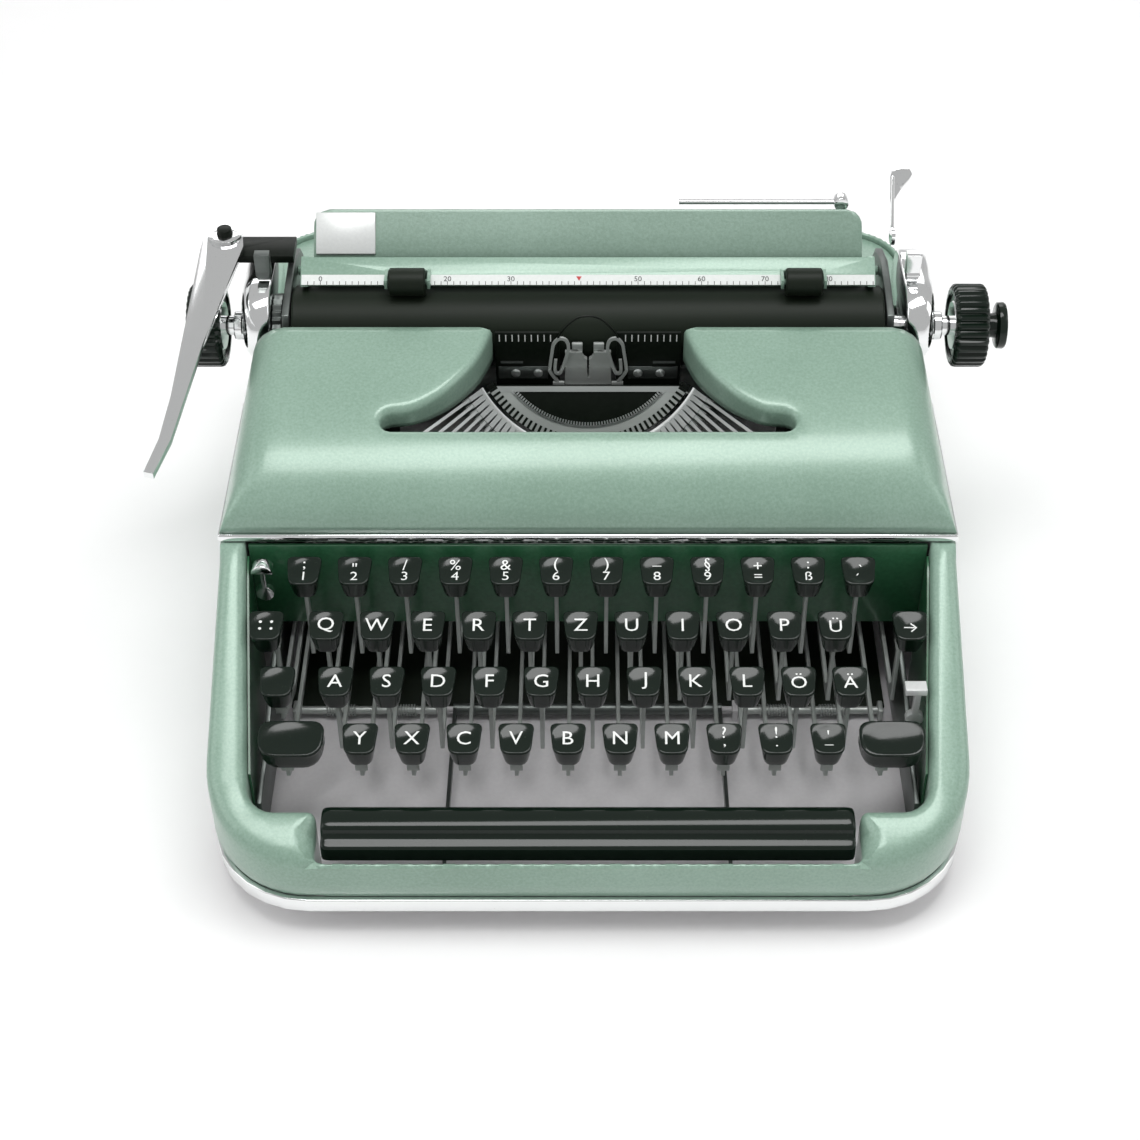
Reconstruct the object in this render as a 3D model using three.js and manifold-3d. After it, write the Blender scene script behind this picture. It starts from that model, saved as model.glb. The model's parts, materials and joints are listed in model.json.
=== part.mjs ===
// Portable manual typewriter, millimetres, +X right, +Y to the back, +Z up.
// The working origin is on the centre line; the whole machine is moved to its base centre at the end.
import * as THREE from "three";
import { mergeVertices } from "three/addons/utils/BufferGeometryUtils.js";
import Module from "manifold-3d";

const wasm = await Module();
wasm.setup();

// ---- driving dimensions ----
const keyPitch = 19.05;
const rowPitch = 20;
const rowRise = 9.3;
const keyWidth = 13.6;
const keyDepth = 13;
const keyHeight = 9;
const sideKeySpace = 16; // room beside the widest row, each side, for the special keys
const armWidth = 9.5; // each side arm of the shell at the hood
const armFrontExtra = 6; // how much wider the arms are at the front
const frontLength = 165; // body in front of the working origin
const rearLength = 160; // body behind it
const shellTop = 84;
const hoodRise = 41; // from the shell's top to the hood's top
const platenRadius = 16;
const platenLength = 237;
const knobRadius = 16.8;
const knobWidth = 13.5;
const wall = 2;
const gap = 0.3; // between pieces that touch or pass
const leverThick = 1.8;
const leverHeight = 3.2;
const footHeight = 4;
const spoolRadius = 23;
const typebarCount = 43; // resting bars; the centre one is a piece of its own
const typebarLength = 42;

// ---- worked-out places ----
const panelY = -52;
const keyFieldHalf = 6 * keyPitch; // twelve keys wide
const rows = [
  { name: "key_row_numbers", count: 12, stagger: 7 },
  { name: "key_row_upper", count: 11, stagger: 16.3 },
  { name: "key_row_home", count: 11, stagger: 20.8 },
  { name: "key_row_lower", count: 10, stagger: 30.8 },
].map((row, i) => ({
  ...row, first: -keyFieldHalf + row.stagger, y: panelY - 11 - i * rowPitch, z: shellTop - 4 - i * rowRise,
}));
const leverLift = 5.5; // between the lever planes of two rows
const lowestLever = 21;
const firstPivotY = 20;
const pivotStep = 6.6;
const shaftRadius = 1.2;
const hubRadius = 3;
const bodyHalf = keyFieldHalf + sideKeySpace + armWidth;
const hoodFront = -51;
const hoodRear = 29.5;
const baseBottom = footHeight;
const baseTop = 7;
const shellBottom = 10.8;
const platenY = hoodRear + Math.max(knobRadius + 2.2, platenRadius + 3);
const platenZ = shellTop + 28;
const platenHalf = platenLength / 2;
const endPlateIn = platenHalf + 0.8;
const endPlateThick = 3;
const endPlateOut = endPlateIn + endPlateThick;
const platenShaftRadius = 4;
const frameFront = platenY + platenRadius + 1.5; // front edge of the carriage plates
const frameRear = frameFront + 32;
const deckFront = frameRear + 5.2; // front edge of the rear cover
const platenTop = platenZ + platenRadius;
const railTop = shellTop + 8.4;
const sledTop = railTop + 4.6;
const frameTop = sledTop + 2.4;
const coverIn = endPlateOut + 4.8;
const coverOut = coverIn + 12;
const knobIn = coverOut + 8;
const chassisIn = keyFieldHalf + 6.7;
const chassisThick = 2;

// ---- solids ----
// A closed geometry as a manifold solid.
function solidOf(geometry) {
  const bare = geometry.index ? geometry.toNonIndexed() : geometry;
  const merged = mergeVertices(new THREE.BufferGeometry().setAttribute("position", bare.getAttribute("position")), 1e-4);
  const mesh = new wasm.Mesh({
    numProp: 3,
    vertProperties: merged.attributes.position.array,
    triVerts: new Uint32Array(merged.index.array),
  });
  return new wasm.Manifold(mesh);
}

const join = (...solids) => solids.flat().reduce((whole, next) => whole.add(next));
const cut = (solid, ...tools) => tools.flat().reduce((whole, tool) => whole.subtract(tool), solid);

// A block between two corners.
function block(x0, x1, y0, y1, z0, z1) {
  const box = new THREE.BoxGeometry(x1 - x0, y1 - y0, z1 - z0);
  return solidOf(box.translate((x0 + x1) / 2, (y0 + y1) / 2, (z0 + z1) / 2));
}

function shapeOf(points) {
  return new THREE.Shape(points.map(([u, v]) => new THREE.Vector2(u, v)));
}

// An outline of x, y points raised from z0 to z1.
function upright(points, z0, z1) {
  const geometry = new THREE.ExtrudeGeometry(shapeOf(points), { depth: z1 - z0, bevelEnabled: false });
  return solidOf(geometry.translate(0, 0, z0));
}

// A side view of y, z points drawn out from x0 to x1.
function sideways(points, x0, x1) {
  const geometry = new THREE.ExtrudeGeometry(shapeOf(points), { depth: x1 - x0, bevelEnabled: false });
  const turn = new THREE.Matrix4().set(0, 0, 1, x0, 1, 0, 0, 0, 0, 1, 0, 0, 0, 0, 0, 1);
  return solidOf(geometry.applyMatrix4(turn));
}

// A front view of x, z points drawn out from y0 to y1.
function lengthways(points, y0, y1) {
  const geometry = new THREE.ExtrudeGeometry(shapeOf(points), { depth: y1 - y0, bevelEnabled: false });
  return solidOf(geometry.rotateX(Math.PI / 2).translate(0, y1, 0));
}

const turns = {
  x: (geometry) => geometry.rotateZ(-Math.PI / 2),
  y: (geometry) => geometry,
  z: (geometry) => geometry.rotateX(Math.PI / 2),
};

// A round bar centred at a place, along one axis.
function bar(axis, radius, length, [x, y, z], sides = 16) {
  return solidOf(turns[axis](new THREE.CylinderGeometry(radius, radius, length, sides)).translate(x, y, z));
}

// A round bar along X between two ends.
const barX = (x0, x1, radius, y, z, sides) => bar("x", radius, x1 - x0, [(x0 + x1) / 2, y, z], sides);

// A ribbed wheel along X.
function ribbedWheel(x0, x1, radius, ribs, depth, y, z) {
  const points = [];
  for (let i = 0; i < ribs * 2; i += 1) {
    const turn = (Math.PI * i) / ribs;
    const reach = i % 2 ? radius - depth : radius;
    points.push([y + reach * Math.cos(turn), z + reach * Math.sin(turn)]);
  }
  return sideways(points, x0, x1);
}

// Points on part of a circle, angles in degrees.
function arc(cx, cy, radius, from, to, steps) {
  return Array.from({ length: steps + 1 }, (_, i) => {
    const angle = THREE.MathUtils.degToRad(from + ((to - from) * i) / steps);
    return [cx + radius * Math.cos(angle), cy + radius * Math.sin(angle)];
  });
}

// A rectangle with rounded front and rear corners.
function roundedPlan(half, front, rear, frontRadius, rearRadius, steps = 7) {
  return [
    ...arc(-half + frontRadius, front + frontRadius, frontRadius, 180, 270, steps),
    ...arc(half - frontRadius, front + frontRadius, frontRadius, 270, 360, steps),
    ...arc(half - rearRadius, rear - rearRadius, rearRadius, 0, 90, steps),
    ...arc(-half + rearRadius, rear - rearRadius, rearRadius, 90, 180, steps),
  ];
}

const machine = new THREE.Group();

function addPiece(name, solid, color, roughness = 0.5, metalness = 0) {
  const { vertProperties, triVerts } = solid.getMesh();
  const geometry = new THREE.BufferGeometry();
  geometry.setAttribute("position", new THREE.BufferAttribute(new Float32Array(vertProperties), 3));
  geometry.setIndex(new THREE.BufferAttribute(new Uint32Array(triVerts), 1));
  const flat = geometry.toNonIndexed();
  flat.computeVertexNormals();
  const mesh = new THREE.Mesh(flat, new THREE.MeshStandardMaterial({ color, roughness, metalness }));
  mesh.name = name;
  machine.add(mesh);
}

const mint = 0x86b39a;
const darkGreen = 0x1f4a2c;
const black = 0x0b120e;
const chrome = 0xd6d9d8;
const steel = 0x8f9594;
const rubber = 0x1a1c1b;

// ---- base, feet and body shell ----
const frontCorner = 38;
const rearCorner = 24;
const baseInset = 3;
const basePlan = roundedPlan(bodyHalf - baseInset, -frontLength + baseInset, rearLength - baseInset, 35, 21);
// The space bar turns on a shaft between two brackets on the pan.
const barY = -frontLength + 15;
const barPivotY = -70;
const barPivotZ = 11;
// Between the levers of the third and fourth keys, and of the eighth and ninth.
const spaceArms = [3 * keyPitch + 4.45 - keyFieldHalf, 8 * keyPitch + 14.2 - keyFieldHalf];
const spaceShaft = join(
  barX(spaceArms[0] - 6, spaceArms[1] + 6, shaftRadius, barPivotY, barPivotZ, 10),
  block(spaceArms[0] - 7, spaceArms[0] - 5, barPivotY - 3, barPivotY + 3, baseBottom + 1, barPivotZ + 2),
  block(spaceArms[1] + 5, spaceArms[1] + 7, barPivotY - 3, barPivotY + 3, baseBottom + 1, barPivotZ + 2),
);
addPiece("base_pan", join(upright(basePlan, baseBottom, baseTop), spaceShaft), 0xc9cdcc, 0.45, 0.3);

const trimOuter = roundedPlan(bodyHalf, -frontLength, rearLength, frontCorner, rearCorner);
const trimInnerPlan = roundedPlan(
  bodyHalf - baseInset + gap, -frontLength + baseInset - gap, rearLength - baseInset + gap, 35, 21,
);
const trimBand = cut(upright(trimOuter, baseBottom, shellBottom - gap), upright(trimInnerPlan, 0, 20));
addPiece("base_trim", trimBand, chrome, 0.15, 1);

const footInset = 30;
const footX = bodyHalf - footInset;
for (const [end, y] of [["front", -frontLength + footInset + 6], ["rear", rearLength - footInset]]) {
  for (const [side, x] of [["left", -footX], ["right", footX]]) {
    addPiece(`foot_${end}_${side}`, bar("z", 8, footHeight - gap, [x, y, (footHeight - gap) / 2]), rubber, 0.9);
  }
}

const lipTop = 30;
const armSlopeTop = -56;
const blockTop = 39.5;
const blockRear = -frontLength + 20;
const shellSide = [
  [-frontLength + 2.5, shellBottom],
  [-frontLength, 18],
  [-frontLength + 0.8, 26],
  [-frontLength + 4, 32],
  [-frontLength + 10, 35.5],
  [blockRear, blockTop],
  [armSlopeTop, shellTop],
  [rearLength, shellTop],
  [rearLength, shellBottom],
];
const cavitySide = [
  [-frontLength + 4, 0],
  [-frontLength + 2.6, 25],
  [-frontLength + 11, 33],
  [blockRear + 1, blockTop - 2.6],
  [armSlopeTop + 1, shellTop - 2.6],
  [rearLength, shellTop - 2.6],
  [rearLength, 0],
];
const barHalf = 96.5; // space bar
const recessHalf = barHalf + 2;
const wellRear = bodyHalf - armWidth;
const wellFront = wellRear - armFrontExtra;
// The keyboard well in plan, grown outwards by a margin.
function wellPlan(grow) {
  const front = -frontLength + 2 - grow;
  const half = recessHalf + grow;
  return [
    ...arc(half - 3, front + 3, 3, 270, 360, 3),
    [half, blockRear - grow],
    ...arc(wellFront + grow - 8, blockRear - grow + 8, 8, 270, 360, 4),
    [wellRear + grow, hoodFront],
    [wellRear + grow, hoodFront + 4 + grow],
    [-wellRear - grow, hoodFront + 4 + grow],
    [-wellRear - grow, hoodFront],
    ...arc(-wellFront - grow + 8, blockRear - grow + 8, 8, 180, 270, 4),
    [-half, blockRear - grow],
    ...arc(-half + 3, front + 3, 3, 180, 270, 3),
  ];
}
const innerPlan = roundedPlan(bodyHalf - wall, -frontLength + wall, rearLength - wall, frontCorner - wall, 22);
const rearRoom = block(-bodyHalf + wall, bodyHalf - wall, hoodFront, rearLength, 0, 200);
const shellCavity = cut(
  upright(innerPlan, 0, 200).intersect(sideways(cavitySide, -bodyHalf, bodyHalf)),
  upright(wellPlan(wall), -1, 201),
);
const shell = cut(
  upright(trimOuter, shellBottom, 200).intersect(sideways(shellSide, -bodyHalf, bodyHalf)),
  upright(wellPlan(0), -1, 201),
  shellCavity,
  rearRoom.intersect(upright(innerPlan, 0, 200)),
  block(-recessHalf, recessHalf, -frontLength - 5, blockRear, lipTop, 200),
);
addPiece("body_shell", shell, mint, 0.42, 0.15);

const panel = block(-wellRear + 1, wellRear - 1, panelY, panelY + 1.6, 42, shellTop - 1.4);
addPiece("keyboard_panel", panel, darkGreen, 0.4, 0.2);

const deckTop = shellTop - 2;
const deck = block(-bodyHalf + wall + 0.5, bodyHalf - wall - 0.5, deckFront, rearLength - wall - 0.5, deckTop - 2, deckTop)
  .intersect(upright(roundedPlan(bodyHalf - wall - 0.5, 0, rearLength - wall - 0.5, 20, 21.5), 0, 200));
addPiece("rear_cover", deck, mint, 0.42, 0.15);

// ---- hood with its opening and wings ----
const hoodBottom = shellTop + 4;
const hoodTop = shellTop + hoodRise;
const hoodSide = [
  [hoodFront, hoodBottom],
  [hoodFront + 1.5, hoodBottom + 6],
  [hoodFront + 6, hoodBottom + 13],
  [hoodFront + 13, hoodBottom + 20],
  [hoodFront + 22, hoodTop - 12],
  [hoodFront + 36, hoodTop - 7.5],
  [hoodFront + 56, hoodTop - 3],
  [hoodRear, hoodTop],
  [hoodRear, hoodBottom],
];
// The hood from the front, leaning in and rounded at its shoulders.
function hoodFrontView(inset) {
  const low = bodyHalf - inset;
  const high = bodyHalf - 6 - inset;
  const top = hoodTop - inset + 0.5;
  const round = 15;
  return [
    [low, hoodBottom - 20],
    [low, hoodBottom + 2],
    ...arc(high - round, top - round, round, 8, 90, 6),
    ...arc(-high + round, top - round, round, 90, 172, 6),
    [-low, hoodBottom + 2],
    [-low, hoodBottom - 20],
  ];
}
const slotHalf = 75;
const wingInner = 38;
const openingFront = -22;
const wingRise = 8; // slot width between the opening's front edge and a wing's tip
// The opening from above: a slot at the front, narrowing between the wings to the rear.
function openingPlan(grow) {
  const wingCurve = arc(slotHalf, hoodRear - 9, slotHalf - wingInner + grow, 180, 262, 8).map(([x, y]) => [
    x, hoodRear - 9 + ((y - hoodRear + 9) * (hoodRear - 9 - openingFront - wingRise)) / (slotHalf - wingInner),
  ]);
  const right = [
    ...arc(slotHalf, openingFront + wingRise / 2, wingRise / 2 + grow * 0.5, -90, 80, 5),
    ...wingCurve.reverse(),
    [wingInner - grow, hoodRear + 5],
  ];
  const left = right.map(([x, y]) => [-x, y]).reverse();
  return [...left, ...right];
}
const hoodOuter = sideways(hoodSide, -bodyHalf, bodyHalf).intersect(lengthways(hoodFrontView(0), hoodFront, hoodRear));
const hoodInner = sideways(
  hoodSide.map(([y, z]) => [y > 0 ? y + 5 : y + wall * 0.8, z - wall]), -bodyHalf, bodyHalf,
).intersect(lengthways(hoodFrontView(wall), hoodFront, hoodRear + 5));
const skirtBottom = hoodTop - 16;
const wingZone = join(
  block(wingInner - 3, slotHalf + 8, openingFront + wingRise - 1, hoodRear, skirtBottom, 200),
  block(-slotHalf - 8, -wingInner + 3, openingFront + wingRise - 1, hoodRear, skirtBottom, 200),
);
const hoodOpening = upright(openingPlan(0), 60, 200);
const skirt = cut(
  upright(openingPlan(0).map(([x, y]) => [x * 1.05, y]), 60, 200)
    .intersect(hoodOuter)
    .intersect(wingZone),
  hoodOpening,
);
const hood = cut(join(cut(hoodOuter, hoodInner), skirt), hoodOpening);
addPiece("hood", hood, mint, 0.42, 0.15);

const trimHalf = bodyHalf + 0.8;
const hoodTrim = cut(
  block(-trimHalf, trimHalf, hoodFront - 1.2, hoodRear, shellTop + gap, hoodBottom - gap),
  block(-trimHalf + 3, trimHalf - 3, hoodFront + 1.6, hoodRear + 5, 0, 200),
);
addPiece("hood_trim", hoodTrim, chrome, 0.15, 1);

// ---- chassis ----
const chassisSide = [
  [-frontLength + 33, baseTop + gap],
  [-frontLength + 33, 26],
  [-frontLength + 60, 29],
  [-frontLength + 77, 36],
  [panelY + 2.2, 41],
  [panelY + 2.2, shellTop - 4],
  [panelY + 28, railTop - 7],
  [frameRear + 4, railTop - 7],
  [frameRear + 4, deckTop - 3],
  [rearLength - 20, deckTop - 3],
  [rearLength - 20, baseTop + gap],
];
const shelfTop = shellTop + 10;
const spoolX = chassisIn - 24;
const spoolY = 0;
const spoolBottom = shelfTop + 1;
const spoolHeight = 13;
const drumRadius = 22;
const drumX = 36 - chassisIn;
const drumY = rearLength - 42;
const drumZ = 50;
const drumBracket = cut(
  join(
    block(-chassisIn - 0.5, drumX + 8, drumY + 12, drumY + 15, drumZ - 8, drumZ + 8),
    block(drumX - 8, drumX + 8, drumY + 8, drumY + 15, drumZ - 8, drumZ + 8),
  ),
  bar("y", 5 + gap, 12, [drumX, drumY + 9 - 6 + 0.5, drumZ], 12),
);
for (const [side, sign] of [["left", -1], ["right", 1]]) {
  const plate = sideways(chassisSide, Math.min(sign * chassisIn, sign * (chassisIn + chassisThick)),
    Math.max(sign * chassisIn, sign * (chassisIn + chassisThick)));
  const shelfIn = sign * (spoolX - 20);
  const shelfOut = sign * (chassisIn + chassisThick);
  const shelf = block(Math.min(shelfIn, shelfOut), Math.max(shelfIn, shelfOut), -20, 20, shelfTop - 2, shelfTop);
  const web = block(
    Math.min(sign * chassisIn, shelfOut), Math.max(sign * chassisIn, shelfOut), -20, 20, 60, shelfTop - 1,
  );
  const post = bar("z", 2.5, spoolHeight + 2, [sign * spoolX, spoolY, shelfTop - 1 + spoolHeight / 2 + 1]);
  const extra = side === "left" ? [drumBracket] : [];
  addPiece(`side_frame_${side}`, join(plate, shelf, web, post, extra), steel, 0.45, 0.7);
  const spool = cut(
    join(
      bar("z", spoolRadius, 1, [sign * spoolX, spoolY, spoolBottom + 0.5], 28),
      bar("z", spoolRadius, 1, [sign * spoolX, spoolY, spoolBottom + spoolHeight - 0.5], 28),
      bar("z", spoolRadius - 4, spoolHeight - 1, [sign * spoolX, spoolY, spoolBottom + spoolHeight / 2], 24),
    ),
    bar("z", 2.5 + gap, 40, [sign * spoolX, spoolY, spoolBottom]),
  );
  addPiece(`ribbon_spool_${side}`, spool, rubber, 0.6);
}

// Shafts that the key levers turn on, between two end plates.
const pivotY = (row) => firstPivotY + pivotStep * (3 - row);
const leverZ = (row) => lowestLever + leverLift * (3 - row);
const endPlate = chassisIn - gap - 0.7;
const shaftPlates = [-1, 1].map((sign) => block(
  Math.min(sign * endPlate, sign * (endPlate - 1.2)), Math.max(sign * endPlate, sign * (endPlate - 1.2)),
  firstPivotY - 5, pivotY(0) + 5, lowestLever - 6, leverZ(0) + 5,
));
const shafts = rows.map((_, row) => barX(-endPlate + 0.6, endPlate - 0.6, shaftRadius, pivotY(row), leverZ(row), 10));
addPiece("key_lever_shafts", join(shaftPlates, shafts), steel, 0.35, 0.9);

const crossY = platenY - platenRadius - 8.5;
const crossBar = block(-chassisIn + gap, chassisIn - gap, crossY, crossY + 10, 50, 58);
const segmentPost = join(block(-30, 30, crossY, crossY + 10, 57, 64), block(-8, 8, crossY + 3, crossY + 10, 60, 76));
addPiece("cross_bar", join(crossBar, segmentPost), steel, 0.5, 0.6);

// ---- carriage rails, mainspring drum and bell ----
const railBottom = railTop - 6.4;
const rail = join(
  block(-chassisIn - 1, chassisIn + 1, frameFront + 2, frameFront + 8, railBottom, railTop),
  block(-chassisIn - 1, chassisIn + 1, frameRear - 8, frameRear - 2, railBottom, railTop),
  block(-chassisIn - 1, -chassisIn + 7, frameFront + 4, frameRear - 4, railBottom, railTop - 2),
  block(chassisIn - 7, chassisIn + 1, frameFront + 4, frameRear - 4, railBottom, railTop - 2),
);
addPiece("carriage_rails", rail, steel, 0.25, 0.9);

const drum = join(
  bar("y", drumRadius, 12, [drumX, drumY, drumZ], 28),
  bar("y", drumRadius + 2, 1.5, [drumX, drumY - 6, drumZ], 28),
  bar("y", 5, 18, [drumX, drumY, drumZ], 12),
);
addPiece("mainspring_drum", drum, steel, 0.4, 0.8);

const bellRadius = 18;
const bellShape = [
  [0, bellRadius - wall], ...arc(0, 0, bellRadius - wall, 80, 0, 7), ...arc(0, 0, bellRadius, 0, 80, 7), [0, bellRadius],
];
const bellGeometry = new THREE.LatheGeometry(bellShape.map(([r, z]) => new THREE.Vector2(r, z)), 24);
const bellPlace = [chassisIn - 26, rearLength - 35, 45];
const stemTop = bellPlace[2] + bellRadius - wall / 2;
const bellStem = block(bellPlace[0] - 2, bellPlace[0] + 2, bellPlace[1] - 2, bellPlace[1] + 2, baseTop + gap, stemTop);
addPiece("bell", join(solidOf(bellGeometry.rotateX(Math.PI / 2).translate(...bellPlace)), bellStem), steel, 0.2, 1);

// ---- type basket ----
const basketY = platenY - platenRadius;
const basketZ = platenZ + 10;
const tilt = Math.PI / 3; // plane of the segment above the horizontal
const pivotArc = 50;
const barAngle = THREE.MathUtils.degToRad(50); // resting bars stand this far out of the plane
const fanHalf = THREE.MathUtils.degToRad(60);
// Basket frame: u to the right, v up the segment's plane, w out of it towards the typist.
const basketFrame = new THREE.Matrix4().makeBasis(
  new THREE.Vector3(1, 0, 0),
  new THREE.Vector3(0, Math.cos(tilt), Math.sin(tilt)),
  new THREE.Vector3(0, -Math.sin(tilt), Math.cos(tilt)),
).setPosition(0, basketY, basketZ);
const extrude = (points, depth) => new THREE.ExtrudeGeometry(shapeOf(points), { depth, bevelEnabled: false });
const chordDepth = 23;
const segmentRadius = 47;
const chordAngle = THREE.MathUtils.radToDeg(Math.asin(chordDepth / segmentRadius));
const segmentPlan = arc(0, 0, segmentRadius, 180 + chordAngle, 360 - chordAngle, 20);
const segmentThick = 4;
const segment = solidOf(extrude(segmentPlan, segmentThick).translate(0, 0, -segmentThick - 1).applyMatrix4(basketFrame));
addPiece("segment", segment, black, 0.35, 0.5);

// One typebar seen from its side: s along the bar, t towards the typist's side.
const barSide = [
  [-0.6, -1], [typebarLength, -1], [typebarLength, 4.5], [typebarLength - 3, 4.5], [typebarLength - 5, 1.2], [-0.6, 1],
];
const barThick = 1;
function typebar(angle) {
  const around = new THREE.Matrix4().makeRotationZ(angle);
  const along = new THREE.Vector3(0, -Math.cos(barAngle), Math.sin(barAngle));
  const out = new THREE.Vector3(0, Math.sin(barAngle), Math.cos(barAngle));
  const across = new THREE.Vector3().crossVectors(along, out);
  const place = new THREE.Matrix4().makeBasis(along, out, across).setPosition(0, -pivotArc, 3);
  const geometry = extrude(barSide, barThick).translate(0, 0, -barThick / 2);
  return solidOf(geometry.applyMatrix4(place).applyMatrix4(around).applyMatrix4(basketFrame));
}
const fan = [];
for (let i = -(typebarCount - 1) / 2; i <= (typebarCount - 1) / 2; i += 1) {
  if (i !== 0) fan.push(typebar((fanHalf * i) / ((typebarCount - 1) / 2)));
}
// The hanger ring that the bars share, broken at the centre for the moving one.
const ringAngle = THREE.MathUtils.radToDeg(fanHalf) + 1;
const ringPlan = [
  ...arc(0, 0, pivotArc + 1.5, 270 - ringAngle, 270 + ringAngle, 16),
  ...arc(0, 0, pivotArc - 1.5, 270 + ringAngle, 270 - ringAngle, 16),
];
const hanger = solidOf(extrude(ringPlan, 3.6).translate(0, 0, 0.2).applyMatrix4(basketFrame));
// A slot cut round the centre bar's pivot, between two heights above the segment's plane.
function pivotSlot(half, low, high) {
  const plan = [[-half, -pivotArc - 10], [half, -pivotArc - 10], [half, 10 - pivotArc], [-half, 10 - pivotArc]];
  return solidOf(extrude(plan, high - low).translate(0, 0, low).applyMatrix4(basketFrame));
}
const swingFloor = 1.6; // the centre bar's tail turns above this height
addPiece("typebar_fan", cut(join(hanger, fan), pivotSlot(1.3, swingFloor, 12)), steel, 0.3, 0.9);

addPiece("typebar_centre", cut(typebar(0), pivotSlot(2, -18, swingFloor + gap)), steel, 0.3, 0.9);

// ---- type guide, vibrator and card plate ----
const cardY = basketY - 2.7;
const cardThick = 1.4;
const guide = cut(
  lengthways(
    [[-11, platenZ - 15], [11, platenZ - 15], [11, platenZ - 2], [7, platenZ + 3], [-7, platenZ + 3], [-11, platenZ - 2]],
    cardY, cardY + cardThick,
  ),
  block(-1.8, 1.8, 0, 60, platenZ - 11, platenZ + 18),
  bar("y", 4, 20, [0, cardY, platenZ + 3], 14),
);
addPiece("type_guide", guide, steel, 0.35, 0.9);
const card = cut(
  block(-37, 37, cardY, cardY + cardThick, platenZ - 20, platenZ + 10),
  block(-11 - gap, 11 + gap, 0, 60, platenZ - 15 - gap, platenZ + 18),
);
addPiece("card_plate", card, black, 0.4, 0.3);
const wireFront = cardY - 2.2;
const wireRear = cardY - 0.6;
const wireTop = platenZ + 5;
const vibrator = join(
  block(-15.5, -12.5, wireFront, wireRear, platenZ - 14, wireTop + 2),
  block(12.5, 15.5, wireFront, wireRear, platenZ - 14, wireTop + 2),
  block(-15.5, 15.5, wireFront, wireRear, platenZ - 18, platenZ - 14),
  lengthways([...arc(0, wireTop, 14.5, 0, 180, 10), ...arc(0, wireTop, 13, 180, 0, 10)], wireFront, wireRear),
);
addPiece("ribbon_vibrator", vibrator, steel, 0.3, 0.9);

// ---- keys ----
// A key cap seen from above, wider at the back, centred on its own place.
function keyPlan(width, depth) {
  const w = width / 2;
  const d = depth / 2;
  return [
    [-w * 0.62, -d], [w * 0.62, -d], [w * 0.86, -d * 0.6], [w, d * 0.7], [w * 0.88, d], [-w * 0.88, d], [-w, d * 0.7],
    [-w * 0.86, -d * 0.6],
  ];
}
const capTilt = THREE.MathUtils.degToRad(12);
function keyCap(x, y, z, width = keyWidth, depth = keyDepth) {
  const cap = new THREE.ExtrudeGeometry(shapeOf(keyPlan(width, depth)), { depth: keyHeight, bevelEnabled: false });
  return solidOf(cap.translate(0, 0, -keyHeight).rotateX(capTilt).translate(x, y, z));
}
// A lever from a pivot to under its cap, with the stem that rises to it.
function keyLever(x, y, z, backY, backZ) {
  const low = backZ - leverHeight / 2;
  const high = backZ + leverHeight / 2;
  const stemTop = z - keyHeight / 2;
  const side = [[y - 2.5, low], [backY, low], [backY, high], [y + 6, high], [y + 2.5, high + 4], [y + 2.5, stemTop],
    [y - 2.5, stemTop]];
  return sideways(side, x - leverThick / 2, x + leverThick / 2);
}
rows.forEach(({ name, count, first, y, z }, row) => {
  const places = Array.from({ length: count }, (_, i) => first + i * keyPitch);
  const caps = places.map((x) => keyCap(x, y, z));
  const levers = places.map((x) => keyLever(x, y, z, pivotY(row), leverZ(row)));
  const tube = barX(places[0] - 1.2, places[count - 1] + 1.2, hubRadius, pivotY(row), leverZ(row), 12);
  const bore = barX(-200, 200, shaftRadius + gap, pivotY(row), leverZ(row), 10);
  addPiece(name, cut(join(caps, levers, tube), bore), black, 0.12);
});

// Special keys turn on the ends of the upper row's shaft.
const specialRow = 1;
const shiftWidth = 25;
const endKeyWidth = 13.6;
const left = -keyFieldHalf;
const right = keyFieldHalf;
const specials = [
  { name: "shift_key_left", x: left + 5.5, y: rows[3].y, z: rows[3].z, width: shiftWidth, leverX: left + 3.5 },
  { name: "shift_key_right", x: right - 2.9, y: rows[3].y, z: rows[3].z, width: shiftWidth, leverX: right - 6.1 },
  { name: "shift_lock", x: left - 0.7, y: rows[2].y, z: rows[2].z, width: endKeyWidth, leverX: left + 0.3 },
  { name: "margin_release_key", x: left - 6.1, y: rows[1].y, z: rows[1].z, width: endKeyWidth, leverX: left - 2.9 },
  { name: "backspace_key", x: right + 6.1, y: rows[1].y, z: rows[1].z, width: endKeyWidth, leverX: right + 2.9 },
];
for (const { name, x, y, z, width, leverX } of specials) {
  const hub = barX(leverX - leverThick / 2, leverX + leverThick / 2, hubRadius, pivotY(specialRow), leverZ(specialRow), 12);
  const bore = barX(-200, 200, shaftRadius + gap, pivotY(specialRow), leverZ(specialRow), 10);
  const lever = keyLever(leverX, y, z, pivotY(specialRow), leverZ(specialRow));
  const tall = keyDepth + (width > 20 ? 2 : 0);
  addPiece(name, cut(join(keyCap(x, y, z, width, tall), lever, hub), bore), black, 0.12);
}

// Space bar on two arms that pass between the key levers.
const spaceSide = [
  [barY - 8.2, 25], [barY + 8.2, 25], [barY + 8.2, 37], [barY + 3, 38], [barY - 4, 37.5], [barY - 6, 33.5], [barY - 8.2, 32],
];
const spaceArmSide = [
  [barY - 2, 26], [barY - 2, 15.5], [barPivotY, barPivotZ - 2], [barPivotY, barPivotZ + 2], [barY + 8, 19.5], [barY + 6, 26],
];
const spaceBar = cut(
  join(
    sideways(spaceSide, -barHalf, barHalf),
    spaceArms.map((x) => sideways(spaceArmSide, x - 0.7, x + 0.7)),
    barX(spaceArms[0], spaceArms[1], 2.4, barPivotY, barPivotZ, 12),
  ),
  barX(-200, 200, shaftRadius + gap, barPivotY, barPivotZ, 10),
);
addPiece("space_bar", spaceBar, black, 0.12);

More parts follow.
